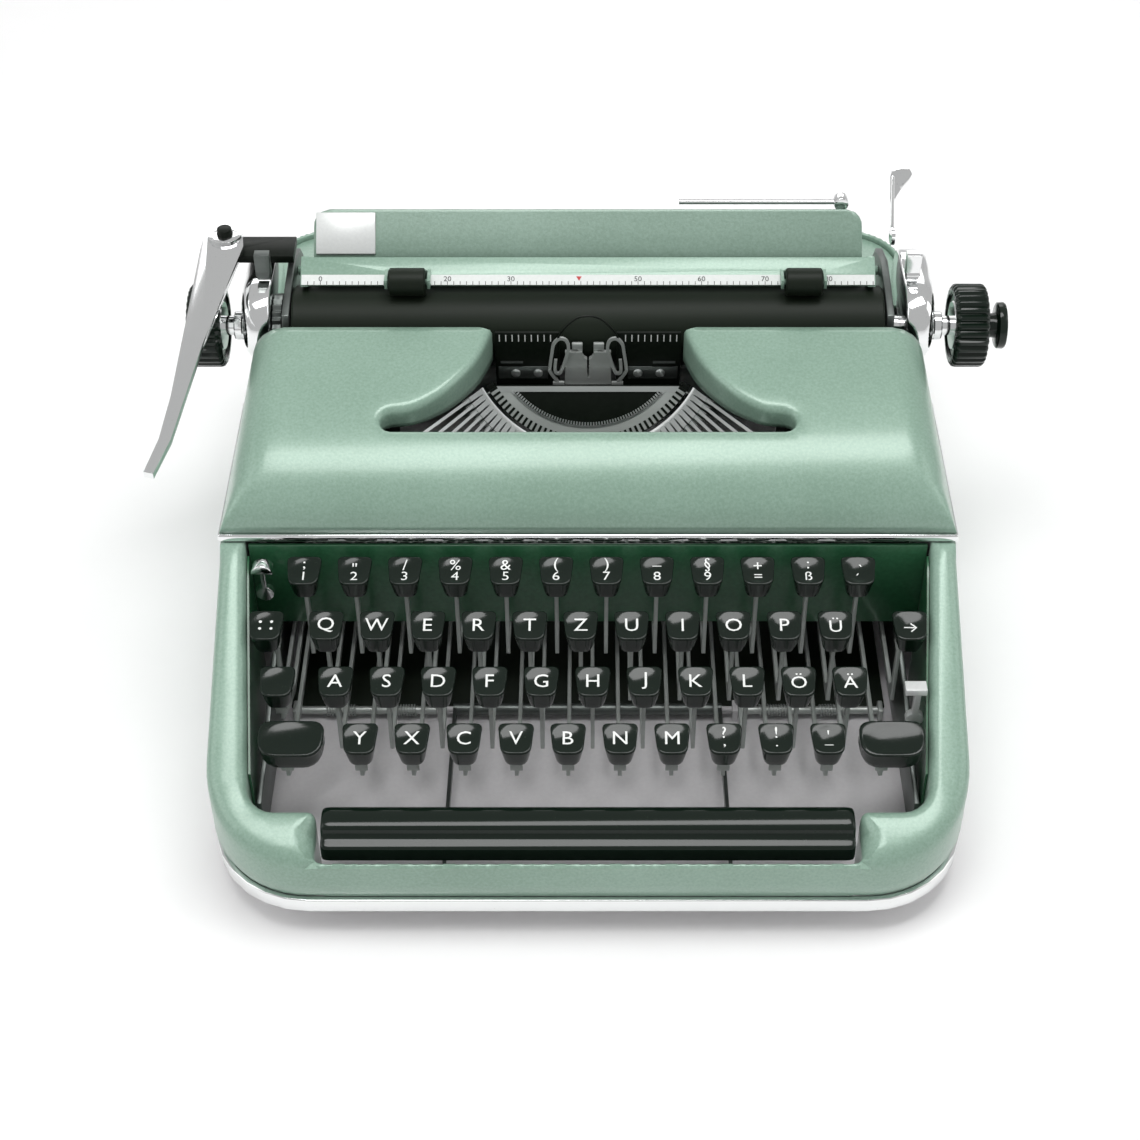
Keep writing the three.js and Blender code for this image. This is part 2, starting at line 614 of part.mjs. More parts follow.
// Small levers at the two sides of the keyboard.
const tabX = 6.8 - wellRear;
const touchTab = join(
  bar("y", 3.5, 3, [tabX, -60, 66], 12),
  block(tabX - 1, tabX + 1, -61.5, -58.5, 64, 78),
  lengthways(arc(tabX, 77, 4.2, 0, 180, 10), -62.5, -57.5),
);
addPiece("touch_control_tab", touchTab, chrome, 0.15, 1);
const hookX = wellRear - 8.3;
const hookY = -105;
const colourLever = join(
  bar("y", 3.5, 3, [hookX, hookY, 44], 12),
  block(hookX - 1.2, hookX + 1.2, hookY - 1.5, hookY + 1.5, 43, 60),
  block(hookX - 5, hookX + 3, hookY - 2.5, hookY + 2.5, 58, 61),
);
addPiece("colour_selector", colourLever, chrome, 0.2, 0.9);

// ---- carriage ----
const sledHalf = platenHalf - 4;
const rackY = frameRear + 5;
const rackZ = sledTop - 3;
const sled = join(
  block(-sledHalf, sledHalf, frameFront, frameRear, railTop + gap + 0.3, sledTop),
  bar("x", 2, sledHalf * 2, [0, rackY, rackZ], 10),
  block(-sledHalf, -sledHalf + 4, frameRear - 1, rackY + 3, rackZ - 3, sledTop),
  block(sledHalf - 4, sledHalf, frameRear - 1, rackY + 3, rackZ - 3, sledTop),
);
addPiece("carriage_sled", sled, steel, 0.35, 0.85);
for (const [side, x] of [["left", -sledHalf + 22], ["right", sledHalf - 22]]) {
  const stop = cut(
    block(x - 4, x + 4, frameRear + 1, rackY + 5, rackZ - 5, rackZ + 5),
    bar("x", 2 + gap, 20, [x, rackY, rackZ], 10),
  );
  addPiece(`margin_stop_${side}`, stop, steel, 0.3, 0.9);
}

// The lifting frame: a plate over the sled and an end plate at each side.
const endSide = [
  [platenY - 12, platenZ - 13], [platenY - 14, platenZ], [platenY - 10, platenTop - 4], [platenY + 4, platenTop - 1],
  [frameFront + 4, platenTop + 1], [frameRear - 12, platenTop - 4], [frameRear, platenZ - 4], [frameRear, sledTop + gap],
  [frameFront, sledTop + gap],
];
const bailPivotY = frameFront + 7;
const bailPivotZ = platenTop - 6;
const frameBody = cut(
  join(
    block(-endPlateOut, endPlateOut, frameFront, frameRear, sledTop + gap, frameTop),
    sideways(endSide, -endPlateOut, -endPlateIn),
    sideways(endSide, endPlateIn, endPlateOut),
  ),
  barX(-200, 200, platenShaftRadius + gap, platenY, platenZ, 16),
);
addPiece("carriage_frame", frameBody, steel, 0.35, 0.85);

const platen = join(
  barX(-platenHalf, platenHalf, platenRadius, platenY, platenZ, 40),
  barX(-knobIn - 1, knobIn + 1, platenShaftRadius, platenY, platenZ, 16),
);
addPiece("platen", platen, rubber, 0.55);
const shaftBore = barX(-300, 300, platenShaftRadius + gap, platenY, platenZ, 16);
const ratchet = cut(ribbedWheel(-endPlateOut - 4.2, -endPlateOut - 0.6, 13, 24, 1.6, platenY, platenZ), shaftBore);
addPiece("line_ratchet", ratchet, steel, 0.4, 0.8);
const knobWheel = (x0, x1) => ribbedWheel(x0, x1, knobRadius, 30, 1.2, platenY, platenZ);
const buttonRadius = 5;
const knobLeft = cut(knobWheel(-knobIn - knobWidth, -knobIn), barX(-knobIn - 5, 0, platenShaftRadius + gap, platenY, platenZ));
addPiece("platen_knob_left", knobLeft, black, 0.2);
const knobRight = cut(
  knobWheel(knobIn, knobIn + knobWidth),
  barX(0, knobIn + 5, platenShaftRadius + gap, platenY, platenZ),
  barX(knobIn + 4, knobIn + 40, buttonRadius + gap, platenY, platenZ),
);
addPiece("platen_knob_right", knobRight, black, 0.2);
const button = join(
  barX(knobIn + 6, knobIn + knobWidth + 5, buttonRadius, platenY, platenZ),
  barX(knobIn + knobWidth + 4.5, knobIn + knobWidth + 8.5, 9.5, platenY, platenZ, 20),
);
addPiece("platen_release_button", button, black, 0.2);

const coverSide = [
  [platenY - 12, platenZ - 6], [platenY - 13, platenZ + 4], [platenY - 8, platenTop - 2], [platenY + 2, platenTop + 2],
  [frameFront + 8, platenTop + 2], [frameFront + 18, platenTop - 4], [frameFront + 22, platenZ - 2],
  [frameFront + 14, platenZ - 9], [platenY - 6, platenZ - 11],
];
for (const [side, x0, x1] of [["left", -coverOut, -coverIn], ["right", coverIn, coverOut]]) {
  addPiece(`end_cover_${side}`, cut(sideways(coverSide, x0, x1), shaftBore), chrome, 0.15, 1);
}

// Return lever on a pin that rises from its bracket.
const leverPivotX = -coverOut - 8;
const leverPivotY = frameFront + 6;
const bracketBottom = platenTop + 3;
const pinTop = bracketBottom + 12;
const leverBracket = join(
  block(leverPivotX - 6, -endPlateIn, leverPivotY - 7, leverPivotY + 7, bracketBottom, bracketBottom + 3.4),
  bar("z", 3, pinTop - bracketBottom, [leverPivotX, leverPivotY, (pinTop + bracketBottom) / 2]),
);
addPiece("lever_bracket", leverBracket, black, 0.4, 0.5);
const bladePlan = [
  [-8, 6], [6, 8], [8, -6], [4, -30], [-1, -66], [-3.5, -95], [-6, -118], [-10, -136], [-13.6, -135], [-10.5, -118],
  [-9.2, -95], [-9.4, -66], [-9.4, -28], [-9, -8],
];
const bladeThick = 2.6;
const bladeSlope = THREE.MathUtils.degToRad(4.6);
const blade = solidOf(
  extrude(bladePlan, bladeThick).rotateX(bladeSlope).translate(leverPivotX, leverPivotY, bracketBottom + 5.6),
);
const leverHub = bar("z", 7, 6, [leverPivotX, leverPivotY, bracketBottom + 3.4 + gap + 3]);
const returnLever = cut(
  join(blade, leverHub),
  bar("z", 3 + gap, 60, [leverPivotX, leverPivotY, bracketBottom + 10]),
);
addPiece("return_lever", returnLever, chrome, 0.12, 1);

// Paper table behind the platen, its edge guide and support rod.
const tableHalf = platenHalf - 7.5;
const sheet = 1.4;
const tableFoot = frameFront; // the table rises from just behind the platen
const tableTop = platenTop + 19.5;
const tableBend = [frameFront - 0.7, platenTop + 5];
const tableFront = [[tableFoot, platenZ - 8], [tableFoot + 1, platenZ + 6], tableBend, [tableFoot + 13.5, tableTop]];
const tableSide = [...tableFront, ...tableFront.map(([y, z]) => [y + sheet, z - 0.5]).reverse()];
const tableFeet = [-1, 1].map((sign) => block(
  Math.min(sign * tableHalf, sign * (tableHalf - 4)), Math.max(sign * tableHalf, sign * (tableHalf - 4)),
  tableFoot + 0.1, tableFoot + 6.5, frameTop + gap, platenZ - 4,
));
addPiece("paper_table", join(sideways(tableSide.reverse(), -tableHalf, tableHalf), tableFeet), mint, 0.42, 0.15);
const slope = Math.atan2(tableTop - tableBend[1], tableFoot + 13.5 - tableBend[0]);
const guideWidth = 24;
const guideLength = 17;
const paperGuide = solidOf(
  new THREE.BoxGeometry(guideWidth, guideLength, 1.2).translate(0, guideLength / 2 + 1.5, 0.6 + gap + 0.1)
    .rotateX(slope).translate(-tableHalf + guideWidth / 2 + 1, ...tableBend),
);
addPiece("paper_guide", paperGuide, 0xe6e9e8, 0.4, 0.2);
const rodY = tableFoot + 18.7;
const rodZ = tableTop;
const rodPivotX = tableHalf - 8;
const rodLength = 66;
const supportRod = join(
  barX(rodPivotX - rodLength, rodPivotX, 1.2, rodY, rodZ, 8),
  bar("y", 3, 5, [rodPivotX, rodY, rodZ], 12),
);
addPiece("paper_support_rod", supportRod, chrome, 0.15, 1);

// Paper bail: a flat strip with an upper flange, an arm at each end and a short axle in each roller notch.
const rollerY = platenY - 0.9;
const rollerRadius = 5.6;
const rollerZ = platenZ + Math.sqrt((platenRadius + rollerRadius + gap) ** 2 - 0.9 ** 2);
const rollerLength = 14.6;
const rollerXs = [-72, 86];
const stripSide = [
  [platenY + 1.2, platenTop + 2.4], [platenY + 4.5, platenTop + 5], [platenY + 11, platenTop + 9],
  [platenY + 10.4, platenTop + 10], [platenY + 3.9, platenTop + 6], [platenY + 0.5, platenTop + 3.4],
];
const stripHalf = platenHalf - 3.5;
const notches = rollerXs.map((x) => block(
  x - rollerLength / 2 - 0.6, x + rollerLength / 2 + 0.6, 0, rollerY + rollerRadius + 0.8, 100, 160,
));
const axleTabs = rollerXs.flatMap((x) => [-1, 1].map((sign) => block(
  x + sign * (rollerLength / 2 + 1.2) - 0.6, x + sign * (rollerLength / 2 + 1.2) + 0.6,
  rollerY - 2, rollerY + 6, rollerZ - 2, rollerZ + 2,
)));
const axles = rollerXs.map((x) => barX(x - rollerLength / 2 - 1.2, x + rollerLength / 2 + 1.2, 1.2, rollerY, rollerZ, 10));
const bailArms = [-1, 1].map((sign) => {
  const x0 = Math.min(sign * stripHalf, sign * (stripHalf - 3));
  return sideways(
    [[platenY + 0.5, platenTop + 2.6], [bailPivotY, bailPivotZ - 4], [bailPivotY + 4, bailPivotZ],
      [bailPivotY, bailPivotZ + 5], [platenY + 11, platenTop + 10]], x0, x0 + 3,
  );
});
const bailStrip = sideways(stripSide, -stripHalf, stripHalf);
const bailPins = [-1, 1].map((sign) => barX(
  Math.min(sign * (stripHalf - 1), sign * (endPlateIn - 0.3)), Math.max(sign * (stripHalf - 1), sign * (endPlateIn - 0.3)),
  2, bailPivotY, bailPivotZ, 10,
));
const bail = join(cut(bailStrip, notches), axleTabs, axles, bailArms, bailPins);
addPiece("paper_bail", bail, mint, 0.4, 0.2);
for (const [side, x] of [["left", rollerXs[0]], ["right", rollerXs[1]]]) {
  const roller = cut(
    barX(x - rollerLength / 2, x + rollerLength / 2, rollerRadius, rollerY, rollerZ, 20),
    barX(-200, 200, 1.2 + gap, rollerY, rollerZ, 10),
  );
  addPiece(`bail_roller_${side}`, roller, rubber, 0.6);
}

// Levers at the two ends of the carriage.
const releaseX = endPlateOut + 2.4;
const releaseHubY = frameFront + 14;
const releaseHubZ = platenTop + 10;
const tallLever = join(
  bar("x", 4, 2, [releaseX, releaseHubY, releaseHubZ - 4], 12),
  sideways(
    [[releaseHubY - 2, releaseHubZ - 6], [releaseHubY + 2, releaseHubZ - 6], [releaseHubY + 19, releaseHubZ + 15],
      [releaseHubY + 16, releaseHubZ + 16]],
    releaseX - 1, releaseX + 1,
  ),
  block(releaseX - 1, releaseX + 8, releaseHubY + 14.5, releaseHubY + 20, releaseHubZ + 11, releaseHubZ + 18),
);
addPiece("paper_release_lever", tallLever, chrome, 0.12, 1);
for (const [side, sign] of [["left", -1], ["right", 1]]) {
  const x = sign * (coverIn + 2.9);
  const tab = join(
    bar("x", 2.6, 5, [x, platenY + 6, platenTop + 5.2], 12),
    block(x - 3, x + 3, platenY + 4, platenY + 8, platenTop + 5, platenTop + 15),
  );
  addPiece(`carriage_release_${side}`, tab, side === "left" ? steel : chrome, 0.25, 0.9);
}

// The base centre of the whole machine becomes the origin.
const bounds = new THREE.Box3().setFromObject(machine);
const middle = bounds.getCenter(new THREE.Vector3());
machine.position.set(-middle.x, -middle.y, -bounds.min.z);

export default machine;
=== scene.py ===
import json
import math
import bmesh
import bpy
from mathutils import Matrix, Vector
from mathutils.geometry import delaunay_2d_cdt

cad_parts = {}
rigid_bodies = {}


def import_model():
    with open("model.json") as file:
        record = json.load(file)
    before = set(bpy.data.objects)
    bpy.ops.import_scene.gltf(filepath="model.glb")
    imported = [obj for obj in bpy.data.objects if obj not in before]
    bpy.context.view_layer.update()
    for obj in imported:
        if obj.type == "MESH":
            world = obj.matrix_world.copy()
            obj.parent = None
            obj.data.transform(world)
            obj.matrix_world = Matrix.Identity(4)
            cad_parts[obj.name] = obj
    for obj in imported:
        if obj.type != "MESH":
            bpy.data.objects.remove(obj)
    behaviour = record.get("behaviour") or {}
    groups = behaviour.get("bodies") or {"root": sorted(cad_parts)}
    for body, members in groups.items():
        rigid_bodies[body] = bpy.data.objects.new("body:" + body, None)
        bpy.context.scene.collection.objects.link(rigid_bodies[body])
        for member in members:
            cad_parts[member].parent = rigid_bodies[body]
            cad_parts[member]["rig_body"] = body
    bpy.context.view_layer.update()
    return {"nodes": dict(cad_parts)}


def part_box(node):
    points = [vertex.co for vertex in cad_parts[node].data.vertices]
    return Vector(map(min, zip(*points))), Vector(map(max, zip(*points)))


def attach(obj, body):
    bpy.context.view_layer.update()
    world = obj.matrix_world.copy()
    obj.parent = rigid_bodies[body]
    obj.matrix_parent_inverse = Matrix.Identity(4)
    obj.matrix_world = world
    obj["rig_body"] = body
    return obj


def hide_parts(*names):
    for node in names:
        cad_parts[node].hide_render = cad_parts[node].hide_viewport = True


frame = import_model()
print("frame loaded:", len(frame["nodes"]), "nodes")
mm = 0.001
tenthInch = 2.54  # the width of one letter


def boxMm(node):  # lowest and highest corner of a node, in millimetres
    low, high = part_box(node)
    return low / mm, high / mm


# where the machine stands in the frame
shellLow, shellHigh = boxMm("body_shell")
midX = (shellLow.x + shellHigh.x) / 2
halfWidth = (shellHigh.x - shellLow.x) / 2
shellFront = shellLow.y

# ---- camera, light and floor
def newObject(name, data):
    made = bpy.data.objects.new(name, data)
    bpy.context.scene.collection.objects.link(made)
    return made


view = {"elevation": 43.0, "distance": 780.0, "lens": 65.3, "shiftX": -0.0158, "shiftY": 0.0}
numbersLow, numbersHigh = boxMm("key_row_numbers")
aim = Vector((midX, numbersLow.y + 6.4, numbersHigh.z - 1.3)) * mm


def placeCamera():
    tilt = math.radians(view["elevation"])
    camera = bpy.data.cameras.new("camera")
    camera.lens = view["lens"]
    camera.shift_x = view["shiftX"]
    camera.shift_y = view["shiftY"]
    holder = newObject("camera", camera)
    holder.location = aim + Vector((0, -math.cos(tilt), math.sin(tilt))) * view["distance"] * mm
    holder.rotation_euler = (math.pi / 2 - tilt, 0, 0)
    bpy.context.scene.camera = holder


studio = {"world": 0.5, "top": 11.0, "left": 2.6, "right": 1.8, "back": 2.5}


def areaLight(name, place, size, power, target=(0, 0, 0.05)):
    lamp = bpy.data.lights.new(name, "AREA")
    lamp.shape = "RECTANGLE"
    lamp.size, lamp.size_y = size
    lamp.energy = power
    holder = newObject(name, lamp)
    holder.location = place
    holder.rotation_euler = (Vector(target) - Vector(place)).to_track_quat("-Z", "Y").to_euler()


def lightStudio():
    world = bpy.data.worlds.new("studio")
    world.use_nodes = True
    world.node_tree.nodes["Background"].inputs["Color"].default_value = (1, 1, 1, 1)
    world.node_tree.nodes["Background"].inputs["Strength"].default_value = studio["world"]
    bpy.context.scene.world = world
    bpy.context.scene.view_settings.view_transform = "Standard"
    areaLight("topSoftbox", (0.05, -0.10, 1.35), (1.1, 0.45), studio["top"])
    areaLight("leftSoftbox", (-1.1, -0.3, 0.8), (0.7, 0.9), studio["left"])
    areaLight("rightSoftbox", (1.1, -0.1, 0.7), (0.6, 0.9), studio["right"])
    areaLight("backSoftbox", (0, 1.2, 0.7), (1.2, 0.5), studio["back"])


placeCamera()
lightStudio()


# ---- shader maths
def feed(tree, socket, value):
    if isinstance(value, Wire):
        tree.links.new(value.socket, socket)
    else:
        socket.default_value = value


class Wire:  # a socket that adds maths nodes when it is used in an expression
    def __init__(self, tree, socket):
        self.tree, self.socket = tree, socket

    def maths(self, operation, first, second):
        return addNode(self.tree, "ShaderNodeMath", {"operation": operation}, {0: first, 1: second})

    def __add__(self, other):
        return self.maths("ADD", self, other)

    __radd__ = __add__

    def __mul__(self, other):
        return self.maths("MULTIPLY", self, other)

    __rmul__ = __mul__


def addNode(tree, kind, settings=None, sockets=None, output=0):
    node = tree.nodes.new(kind)
    for key, value in (settings or {}).items():
        if key == "stops":
            fillRamp(node.color_ramp, value)
        else:
            setattr(node, key, value)
    for key, value in (sockets or {}).items():
        feed(tree, node.inputs[key], value)
    return Wire(tree, node.outputs[output])


def fillRamp(ramp, stops):
    while len(ramp.elements) < len(stops):
        ramp.elements.new(1)
    for element, (place, value) in zip(ramp.elements, stops):
        element.position = place
        element.color = value if hasattr(value, "__len__") else (value, value, value, 1)


class Finish:  # a material with its shader and a few ways to feed it
    def __init__(self, name, color, roughness, metallic=0.0, coat=0.0, coatRoughness=0.1, specular=0.5):
        self.material = bpy.data.materials.new(name)
        self.material.use_nodes = True
        self.tree = self.material.node_tree
        self.shader = self.tree.nodes["Principled BSDF"]
        for socket, value in {
            "Base Color": (*color, 1), "Roughness": roughness, "Metallic": metallic, "Coat Weight": coat,
            "Coat Roughness": coatRoughness, "Specular IOR Level": specular,
        }.items():
            self.set(socket, value)
        self.place = self.add("ShaderNodeTexCoord", output="Object")

    def add(self, kind, settings=None, sockets=None, output=0):
        return addNode(self.tree, kind, settings, sockets, output)

    def set(self, name, value):
        feed(self.tree, self.shader.inputs[name], value)

    def noise(self, scale, detail=3.0, roughness=0.5, stretch=None):
        place = self.place
        if stretch:
            place = self.add("ShaderNodeVectorMath", {"operation": "MULTIPLY"}, {0: self.place, 1: stretch})
        return self.add(
            "ShaderNodeTexNoise", {},
            {"Vector": place, "Scale": scale, "Detail": detail, "Roughness": roughness},
        )

    def ramp(self, value, stops):
        return self.add("ShaderNodeValToRGB", {"stops": stops}, {0: value})

    def shade(self, amount, first, second):  # the base colour, from the first colour to the second
        colors = {0: amount, 6: (*first, 1), 7: (*second, 1)}
        self.set("Base Color", self.add("ShaderNodeMix", {"data_type": "RGBA"}, colors, output=2))

    def bump(self, height, strength, distance):
        normal = self.add(
            "ShaderNodeBump", {}, {"Strength": strength, "Distance": distance, "Height": height},
        )
        self.set("Normal", normal)


enamel = {
    "light": (0.280, 0.415, 0.335), "dark": (0.215, 0.335, 0.260),
    "grain": 900.0, "depth": 0.00012, "roughness": 0.33,
}


# hammered mint paint, with a fine cell pattern under its gloss
def makeEnamel(name="mintEnamel", shade=1.0):
    light = [shade * c for c in enamel["light"]]
    dark = [shade * c for c in enamel["dark"]]
    finish = Finish(name, light, enamel["roughness"], metallic=0.12, coat=0.35, coatRoughness=0.16)
    cells = finish.noise(enamel["grain"], 4.0, 0.62)
    broad = finish.noise(14.0, 2.0)
    blend = finish.ramp(cells * 0.6 + broad * 0.4, [(0.38, 0.0), (0.62, 1.0)])
    finish.shade(blend, dark, light)
    finish.set("Roughness", enamel["roughness"] - 0.05 + cells * 0.12)
    finish.bump(cells, 0.42, enamel["depth"])
    return finish.material


# fine cells of two shades
def cellPaint(name, color, roughness, cellScale, low, high, depth, spread=None, **look):
    finish = Finish(name, color, roughness, **look)
    cells = finish.noise(cellScale, 3.0)
    finish.shade(cells, low, high)
    if spread:
        finish.set("Roughness", spread[0] + cells * spread[1])
    finish.bump(cells, depth, 0.0001)
    return finish.material


def makeChrome():
    finish = Finish("chromePlate", (0.86, 0.87, 0.87), 0.08, metallic=1.0)
    haze = finish.noise(60.0, 4.0, 0.6)
    pits = finish.ramp(finish.noise(1600.0, 2.0), [(0.70, 0.0), (0.76, 1.0)])
    finish.set("Roughness", 0.05 + haze * 0.09)
    finish.shade(pits, (0.86, 0.87, 0.87), (0.55, 0.54, 0.52))
    return finish.material


def makeSteel(
    name="platedSteel", light=(0.70, 0.72, 0.71), dark=(0.42, 0.45, 0.44), roughness=0.3, metallic=0.85,
):
    finish = Finish(name, light, roughness, metallic)
    brushed = finish.noise(220.0, 4.0, 0.6, stretch=(0.15, 1.0, 1.0))
    stains = finish.noise(35.0, 3.0)
    finish.shade(stains * 0.6 + brushed * 0.4, dark, light)
    finish.set("Roughness", roughness - 0.06 + brushed * 0.16)
    finish.bump(brushed, 0.12, 0.0001)
    return finish.material


def makeKeyBlack():  # moulded gloss with faint polishing marks and dust
    finish = Finish("keyBlack", (0.003, 0.010, 0.005), 0.12, coat=0.12, coatRoughness=0.05, specular=0.28)
    marks = finish.noise(130.0, 4.0, 0.6)
    dust = finish.ramp(finish.noise(900.0, 2.0), [(0.66, 0.0), (0.80, 1.0)])
    finish.set("Roughness", 0.09 + marks * 0.08)
    finish.shade(dust, (0.004, 0.010, 0.006), (0.012, 0.022, 0.014))
    return finish.material


def makeRubber():
    finish = Finish("hardRubber", (0.006, 0.009, 0.006), 0.42, specular=0.16)
    wear = finish.noise(90.0, 4.0, 0.6, stretch=(0.1, 1.0, 1.0))
    grain = finish.noise(1500.0, 2.0)
    finish.shade(wear, (0.004, 0.007, 0.004), (0.014, 0.020, 0.013))
    finish.set("Roughness", 0.36 + wear * 0.2)
    finish.bump(grain, 0.25, 0.0001)
    return finish.material


def makePlain(name, color, roughness, metallic=0.0):  # printed marks, ivory strip and thin trim
    finish = Finish(name, color, roughness, metallic)
    speck = finish.noise(800.0, 2.0)
    finish.shade(speck, [c * 0.86 for c in color], color)
    return finish.material


mint = makeEnamel()
# the same mint paint with its colours scaled by 0.74: painted shade for the paper table
mintPaintedShade = makeEnamel("mintEnamelMatt", 0.74)
darkGreen = cellPaint(
    "darkGreenEnamel", (0.014, 0.062, 0.028), 0.3, 700.0, (0.014, 0.078, 0.032), (0.040, 0.150, 0.072),
    0.3, coat=0.4,
)
chrome = makeChrome()
steel = makeSteel()
darkSteel = makeSteel("darkenedSteel", (0.20, 0.22, 0.21), (0.08, 0.09, 0.085), 0.34)
leverSteel = makeSteel("leverSteel", (0.66, 0.69, 0.67), (0.34, 0.37, 0.35), 0.4, 0.55)
keyBlack = makeKeyBlack()
blackPaint = cellPaint(
    "blackEnamel", (0.003, 0.005, 0.003), 0.34, 500.0, (0.002, 0.004, 0.002), (0.007, 0.010, 0.007), 0.15,
    spread=(0.28, 0.14), specular=0.16,
)
rubber = makeRubber()
greyPan = cellPaint(
    "greyEnamel", (0.66, 0.65, 0.66), 0.4, 600.0, (0.62, 0.60, 0.62), (0.70, 0.69, 0.70), 0.15,
)
legendWhite = makePlain("legendWhite", (0.86, 0.88, 0.86), 0.4)
scaleWhite = makePlain("scaleWhite", (0.72, 0.75, 0.73), 0.35)
markBlack = makePlain("markBlack", (0.012, 0.012, 0.012), 0.5)
markRed = makePlain("markRed", (0.55, 0.03, 0.03), 0.5)
whitePlate = makePlain("whitePlate", (0.74, 0.76, 0.75), 0.3, 0.3)
print("finishes made")


# ---- mesh helpers, all in millimetres
def addObject(name, mesh, finish):
    piece = newObject(name, mesh)
    if finish and not mesh.materials:
        mesh.materials.append(finish)
    return piece


def addPiece(name, mesh, finish, body, replaced, angle):
    mesh.shade_smooth()
    mesh.set_sharp_from_angle(angle=math.radians(angle))
    piece = addObject(name, mesh, finish)
    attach(piece, body)
    if replaced:
        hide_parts(*replaced)
    return piece


def toMesh(name, bm):
    mesh = bpy.data.meshes.new(name)
    bm.to_mesh(mesh)
    bm.free()
    return mesh


def fromBmesh(name, bm, finish, body, replaced=(), angle=35):
    return addPiece(name, toMesh(name, bm), finish, body, replaced, angle)


def scaled(bm):
    bmesh.ops.scale(bm, vec=(mm, mm, mm), verts=bm.verts)
    return bm


def addLoft(bm, rings):  # joins rings of points, one after another
    rows = [[bm.verts.new(point) for point in ring] for ring in rings]
    count = len(rows[0])
    for first, second in zip(rows, rows[1:]):
        for i in range(count):
            j = (i + 1) % count
            bm.faces.new((first[i], first[j], second[j], second[i]))
    bm.faces.new(list(reversed(rows[0])))
    bm.faces.new(rows[-1])


def softenEdges(bm, edges, offset, segments=2):
    bmesh.ops.bevel(
        bm, geom=edges, offset=offset, segments=segments, profile=0.5, affect="EDGES", clamp_overlap=True,
    )


def inOrder(parts):  # each part once, in an order that every run repeats
    return list(dict.fromkeys(parts))


def addBlock(bm, low, high, bevel=0.3):
    made = bmesh.ops.create_cube(bm, size=1.0)["verts"]
    size = [b - a for a, b in zip(low, high)]
    for vertex in made:
        vertex.co = Vector([a + (c + 0.5) * s for a, c, s in zip(low, vertex.co, size)])
    if bevel:
        softenEdges(bm, inOrder(edge for vertex in made for edge in vertex.link_edges), bevel)


def polar(radius, i, count):  # one of the points that divide a circle evenly
    turn = 2 * math.pi * i / count
    return radius * math.cos(turn), radius * math.sin(turn)


def roundProfile(bm, profile, centre, steps=40):  # spins (x, radius) pairs about a line along X
    rings = []
    for x, radius in profile:
        rings.append([Vector(centre) + Vector((x, *polar(radius, i, steps))) for i in range(steps)])
    addLoft(bm, rings)


def addTube(bm, path, radius, sides=10):
    rings = []
    for i, point in enumerate(path):
        before = Vector(path[max(i - 1, 0)])
        after = Vector(path[min(i + 1, len(path) - 1)])
        turn = (after - before).to_track_quat("Z", "Y")
        rings.append([Vector(point) + turn @ Vector((*polar(radius, k, sides), 0)) for k in range(sides)])
    addLoft(bm, rings)


def addStrip(bm, outline, x0, x1, bevel=0.0):  # a side view of (y, z) points drawn along X
    before = set(bm.verts)
    addLoft(bm, [[(x0, y, z) for y, z in outline], [(x1, y, z) for y, z in outline]])
    made = [v for v in bm.verts if v not in before]
    faces = inOrder(face for vertex in made for face in vertex.link_faces)
    bmesh.ops.recalc_face_normals(bm, faces=faces)
    if bevel:
        edges = inOrder(e for v in made for e in v.link_edges if e.calc_face_angle(0) > 0.4)
        softenEdges(bm, edges, bevel)


def facedOut(bm):  # turns the faces of closed shapes outward
    bmesh.ops.recalc_face_normals(bm, faces=bm.faces)
    return bm


def bodyOf(node):
    return frame["nodes"][node]["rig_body"]


def refineNode(node, finish, bevel=0.35, segments=2, angle=28):  # a CAD shape with softened edges
    bm = bmesh.new()
    bm.from_mesh(frame["nodes"][node].data)
    bmesh.ops.remove_doubles(bm, verts=bm.verts, dist=2e-6)
    bmesh.ops.dissolve_limit(bm, angle_limit=math.radians(2), verts=bm.verts, edges=bm.edges)
    edges = [e for e in bm.edges if e.is_manifold and e.calc_face_angle(0) > math.radians(angle)]
    softenEdges(bm, edges, bevel * mm, segments)
    fromBmesh(node + "_fine", bm, finish, bodyOf(node), [node])


def ease(t):
    return t * t * (3 - 2 * t)


def along(points, value):  # straight-line reading of (x, y) pairs
    if value <= points[0][0]:
        return points[0][1]
    for (a, u), (b, v) in zip(points, points[1:]):
        if value <= b:
            return u + (v - u) * (value - a) / (b - a)
    return points[-1][1]


def smoothAlong(points, value):  # the same, eased by averaging close readings
    reach = 2.5
    return sum(along(points, value + reach * k / 3) for k in range(-3, 4)) / 7


def arcPoints(cx, cy, radius, start, end, steps):
    turns = [math.radians(start + (end - start) * i / steps) for i in range(steps + 1)]
    return [(cx + radius * math.cos(t), cy + radius * math.sin(t)) for t in turns]


def curveBetween(around, steps):  # from the second to the third of four points
    a, b, c, d = [Vector(point) for point in around]
    path = []
    for k in range(steps):
        t = k / steps
        straight = 2 * b + (c - a) * t
        path.append(
            0.5 * (straight + (2 * a - 5 * b + 4 * c - d) * t * t + (3 * b - a - 3 * c + d) * t ** 3)
        )
    return [tuple(point) for point in path]


def spline(points, steps=6):  # a smooth curve through points
    path = []
    last = len(points) - 1
    for i in range(last):
        path += curveBetween([points[min(max(k, 0), last)] for k in (i - 1, i, i + 1, i + 2)], steps)
    return path + [tuple(Vector(points[-1]))]


def closedSpline(points, steps=4):
    path = []
    for i in range(len(points)):
        path += curveBetween([points[(i + k) % len(points)] for k in (-1, 0, 1, 2)], steps)
    return path


def densify(loop, step, closed=True):  # adds points so that none stand further apart than the step
    path = []
    count = len(loop)
    for i in range(count if closed else count - 1):
        a, b = Vector(loop[i]), Vector(loop[(i + 1) % count])
        parts = max(1, math.ceil((b - a).length / step))
        path += [a.lerp(b, k / parts) for k in range(parts)]
    if not closed:
        path.append(Vector(loop[-1]))
    return path


